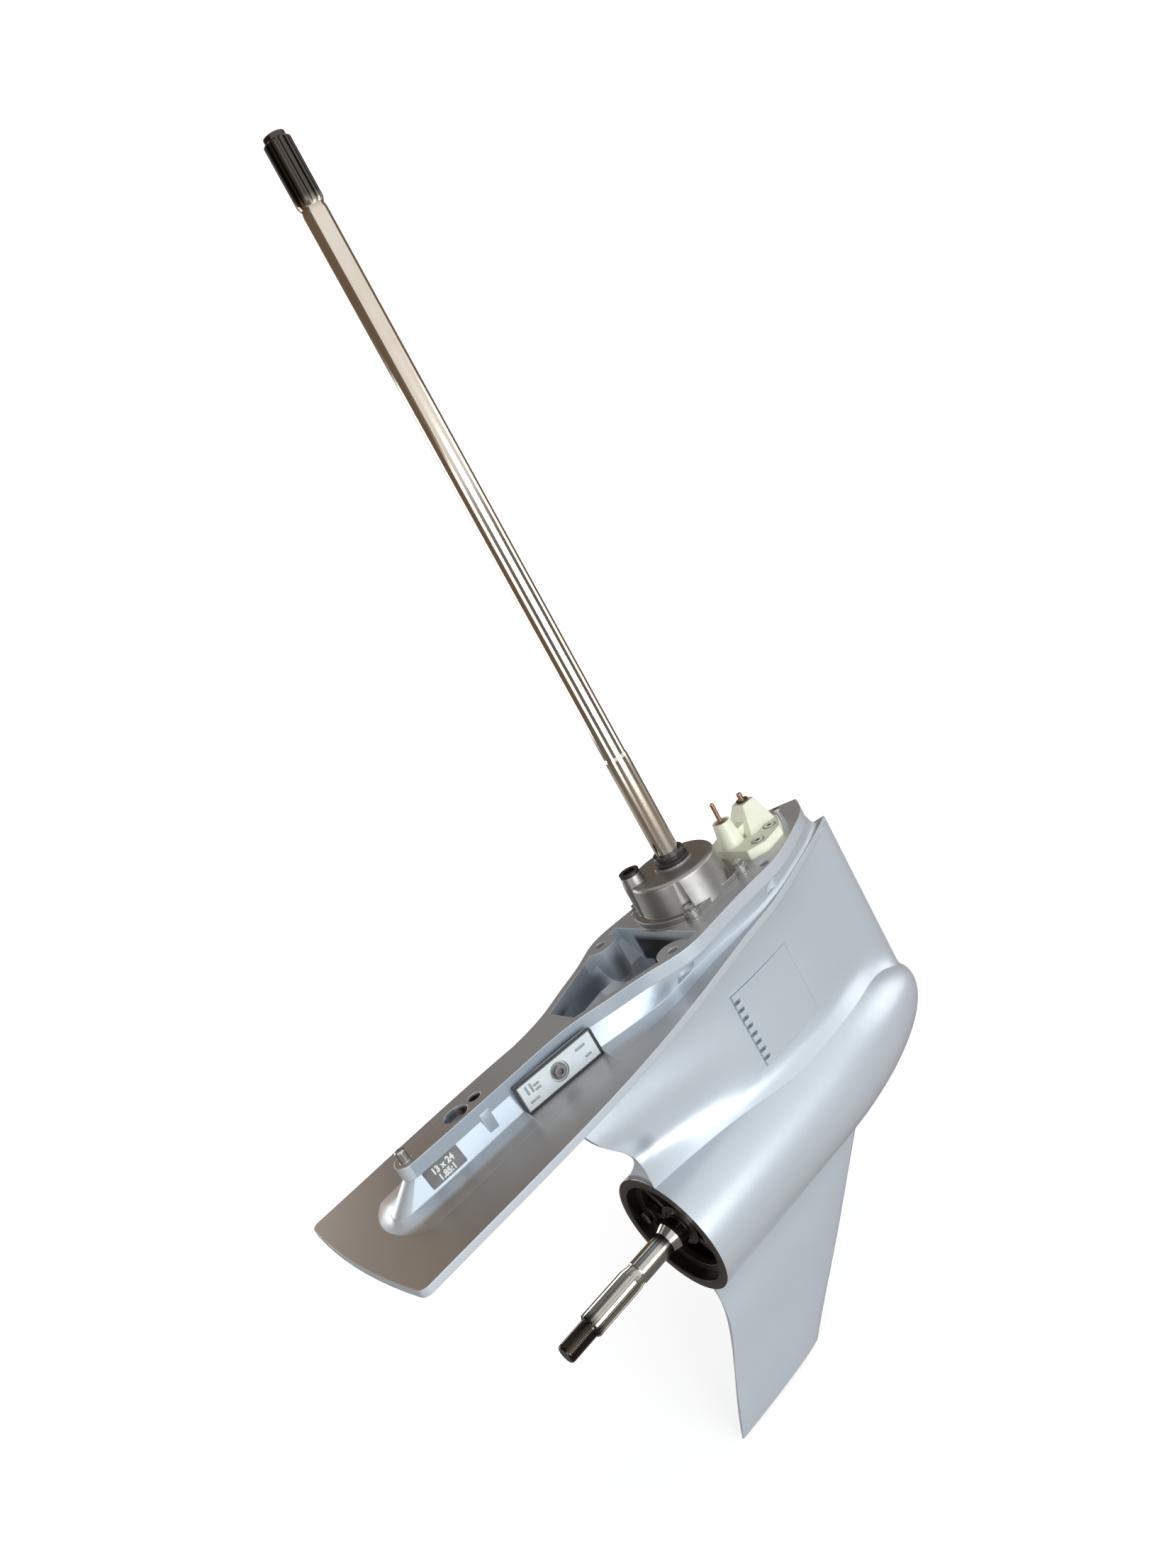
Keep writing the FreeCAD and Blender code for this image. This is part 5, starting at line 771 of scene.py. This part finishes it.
# %% Label
LABEL_MIDDLE_X, LABEL_MIDDLE_Z = -0.3005, -0.0186
LABEL_LONG, LABEL_TALL = 0.0310, 0.0136
LABEL_THICK = 0.0003
OUTSIDE_Y = -0.040
LABEL_CORNER = 0.0009
LABEL_LIFT = 0.00025
LABEL_CELLS = (26, 12)
label = begin(bpy.ops.mesh.primitive_grid_add, x_subdivisions=LABEL_CELLS[0],
              y_subdivisions=LABEL_CELLS[1], size=1.0,
              location=(LABEL_MIDDLE_X, OUTSIDE_Y, LABEL_MIDDLE_Z), rotation=UPRIGHT)
sized(label, (LABEL_LONG, LABEL_TALL, 1.0))
bpy.ops.object.mode_set(mode="EDIT")
bpy.ops.mesh.select_all(action="DESELECT")
points = bmesh.from_edit_mesh(label.data)
for point in points.verts:
    point.select_set(len(point.link_edges) == 2)
bmesh.update_edit_mesh(label.data)
bpy.ops.mesh.bevel(offset=LABEL_CORNER, segments=3, affect="VERTICES")
bpy.ops.object.mode_set(mode="OBJECT")
lay_on_wall(label, LABEL_LIFT, LABEL_THICK)
end(label, "wall_label", ink, "black_rubber")
print("label points:", len(label.data.vertices))

# %% Figures on the label
ROWS = (("13 x 24", 0.0026), ("1.85:1", -0.0034))
FIGURE_TALL = 0.0062
FIGURE_STROKE = 0.00030
FIGURE_LIFT, FIGURE_THICK = 0.00052, 0.0001
for number, (words, up) in enumerate(ROWS):
    bpy.ops.object.select_all(action="DESELECT")
    bpy.ops.object.text_add(location=(LABEL_MIDDLE_X, OUTSIDE_Y, LABEL_MIDDLE_Z + up),
                            rotation=UPRIGHT)
    figures = bpy.context.object
    figures.data.body = words
    figures.data.size = FIGURE_TALL
    figures.data.offset = FIGURE_STROKE
    figures.data.align_x = "CENTER"
    figures.data.align_y = "CENTER"
    figures.data.resolution_u = 3
    bpy.ops.object.convert(target="MESH")
    figures = bpy.context.object
    bpy.ops.object.transform_apply(location=True, rotation=True, scale=True)
    lay_on_wall(figures, FIGURE_LIFT, FIGURE_THICK)
    end(figures, "label_figures_%d" % number, mark_white, "bracket_plastic")
print("rows of figures:", len(ROWS))

# %% [markdown]
# ## Relief on the anodes
# Each anode carries a few raised marks from its mould, left and right of its bolt. Each mark is a
# bar that stands half out of the zinc: a cube at its size, with all its edges bevelled round. The
# real marks can't be read in the photograph, so these are plain bars.

# %% Anode relief
mark_zinc = finish_recipe("anode_mark_finish", shade(150, 157, 162), shade(206, 212, 215), 0.25, 0.5, 0.2,
                          700.0, 140.0, 0.0001, shade(120, 126, 130))
ANODE_MIDDLE = (-0.194, 0.0225, -0.0195)
ANODE_HALF_THICK = 0.0035
ANODE_TURN_DEG = 8.0
BAR_HEIGHT, BAR_ROUND = 0.0006, 0.0004
BARS = (
    (-0.0285, 0.0045, 0.0016, 0.0075), (-0.0245, 0.0045, 0.0016, 0.0075),
    (-0.0200, 0.0045, 0.0052, 0.0016), (-0.0200, 0.0010, 0.0052, 0.0016),
    (-0.0265, -0.0050, 0.0085, 0.0016), (0.0225, 0.0045, 0.0090, 0.0020),
    (0.0255, -0.0045, 0.0060, 0.0016),
)


def on_anode(piece, side, along, out, up):
    """Put a piece made at the origin on an anode, measured from the anode's middle."""
    turn = Matrix.Rotation(math.radians(side * ANODE_TURN_DEG), 4, "Z")
    middle = Vector((ANODE_MIDDLE[0], side * ANODE_MIDDLE[1], ANODE_MIDDLE[2]))
    shift = Matrix.Translation((along, side * out, up))
    piece.matrix_world = Matrix.Translation(middle) @ turn @ shift


def round_edges(offset, segments):
    """A step for edit mode that bevels every edge."""
    return lambda: bpy.ops.mesh.bevel(offset=offset, segments=segments)


for side in (-1, 1):
    for number, (along, up, long, tall) in enumerate(BARS):
        bar = begin(bpy.ops.mesh.primitive_cube_add, size=1.0, location=(0.0, 0.0, 0.0))
        sized(bar, (long, 2 * BAR_HEIGHT, tall))
        edit(round_edges(BAR_ROUND, 3))
        on_anode(bar, side, along, ANODE_HALF_THICK, up)
        end(bar, "anode_mark_%s_%d" % (side_name(side), number), mark_zinc, "anode_zinc")
print("anode marks:", 2 * len(BARS))

# %% [markdown]
# ## A dark frame round each anode
# An even black line runs round the anode in the photograph. It is taken to be sealant in the gap
# between anode and casting. It is made as a flat dark ring: a plane whose corners are rounded,
# whose face is inset by the ring's width and opened, and which is then thickened.

# %% Anode frames
FRAME_LONG, FRAME_TALL = 0.0738, 0.0258
FRAME_WIDTH, FRAME_CORNER, FRAME_THICK = 0.0019, 0.0026, 0.0012
FRAME_OUT = 0.0030
frame_dark = finish_recipe("sealant_finish", shade(44, 46, 50), shade(90, 92, 96), 0.0, 0.5, 0.15, 1400.0,
                        120.0, 0.00006, shade(28, 28, 30))
for side in (-1, 1):
    frame_ring = begin(bpy.ops.mesh.primitive_plane_add, size=1.0, location=(0.0, 0.0, 0.0), rotation=UPRIGHT)
    sized(frame_ring, (FRAME_LONG, FRAME_TALL, 1.0))
    edit(lambda: bpy.ops.mesh.bevel(offset=FRAME_CORNER, segments=5, affect="VERTICES"),
         lambda: bpy.ops.mesh.select_all(action="SELECT"),
         lambda: bpy.ops.mesh.inset(thickness=FRAME_WIDTH),
         lambda: bpy.ops.mesh.delete(type="FACE"))
    apply_modifier(frame_ring, "SOLIDIFY", thickness=FRAME_THICK, offset=0.0)
    on_anode(frame_ring, side, 0.0, FRAME_OUT, 0.0)
    end(frame_ring, "anode_dark_frame_%s" % side_name(side), frame_dark, "black_rubber")
print("frames: 2")

# %% [markdown]
# ## The pad on the wall
# A small raised pad stands on each wall behind the anode. It is a block with bevelled edges,
# partly sunk in the casting.

# %% Wall pads
PAD_X, PAD_Y, PAD_Z = -0.256, 0.0141, -0.0150
PAD_SIZE = (0.0090, 0.0030, 0.0170)
PAD_TURN_DEG = 2.9
PAD_ROUND = 0.0009
for side in (-1, 1):
    pad = begin(bpy.ops.mesh.primitive_cube_add, size=1.0, location=(PAD_X, side * PAD_Y, PAD_Z),
                rotation=(0.0, 0.0, math.radians(side * PAD_TURN_DEG)))
    sized(pad, PAD_SIZE)
    edit(round_edges(PAD_ROUND, 4))
    end(pad, "wall_pad_%s" % side_name(side), paint, "gearcase_paint")
print("pads: 2")

# %% [markdown]
# ## The thread of the propeller shaft
# The CAD keeps the thread as a plain cylinder, because a helix would cost it many faces. Here a
# plane is merged to one point, which is extruded to the two flanks of a ridge. The Screw modifier
# sweeps them along the shaft at the pitch of a fine M16 thread. The ridge is an open strip: its
# foot lies inside the cylinder, and its crest stands a quarter of a millimetre out of it.

# %% Thread
THREAD_PITCH = 0.0015
THREAD_ROOT_R, THREAD_CREST_R = 0.00790, 0.00826
THREAD_FROM, THREAD_TO = -0.2978, -0.2738
THREAD_STEPS = 48


def flank(rise):
    """A step for edit mode that draws one flank, half a pitch long."""
    return lambda: bpy.ops.mesh.extrude_region_move(
        TRANSFORM_OT_translate={"value": (THREAD_PITCH / 2, 0.0, rise)})


thread = begin(bpy.ops.mesh.primitive_plane_add, size=1.0, location=(0.0, 0.0, 0.0))
edit(lambda: bpy.ops.mesh.merge(type="CENTER"))
edit(lambda: bpy.ops.transform.translate(value=(THREAD_FROM, 0.0, THREAD_ROOT_R)),
     flank(THREAD_CREST_R - THREAD_ROOT_R),
     flank(THREAD_ROOT_R - THREAD_CREST_R))
turns = int((THREAD_TO - THREAD_FROM) / THREAD_PITCH)
apply_modifier(thread, "SCREW", axis="X", angle=2 * math.pi, screw_offset=THREAD_PITCH,
               iterations=turns, steps=THREAD_STEPS, render_steps=THREAD_STEPS,
               use_smooth_shade=False)
edit(lambda: bpy.ops.transform.translate(value=(0.0, 0.0, PROP_Z)))
end(thread, "shaft_thread", turned, "shaft_steel", "prop_line")
print("thread turns:", turns, "points:", len(thread.data.vertices))

# %% Colour management
bpy.context.scene.view_settings.view_transform = "Standard"
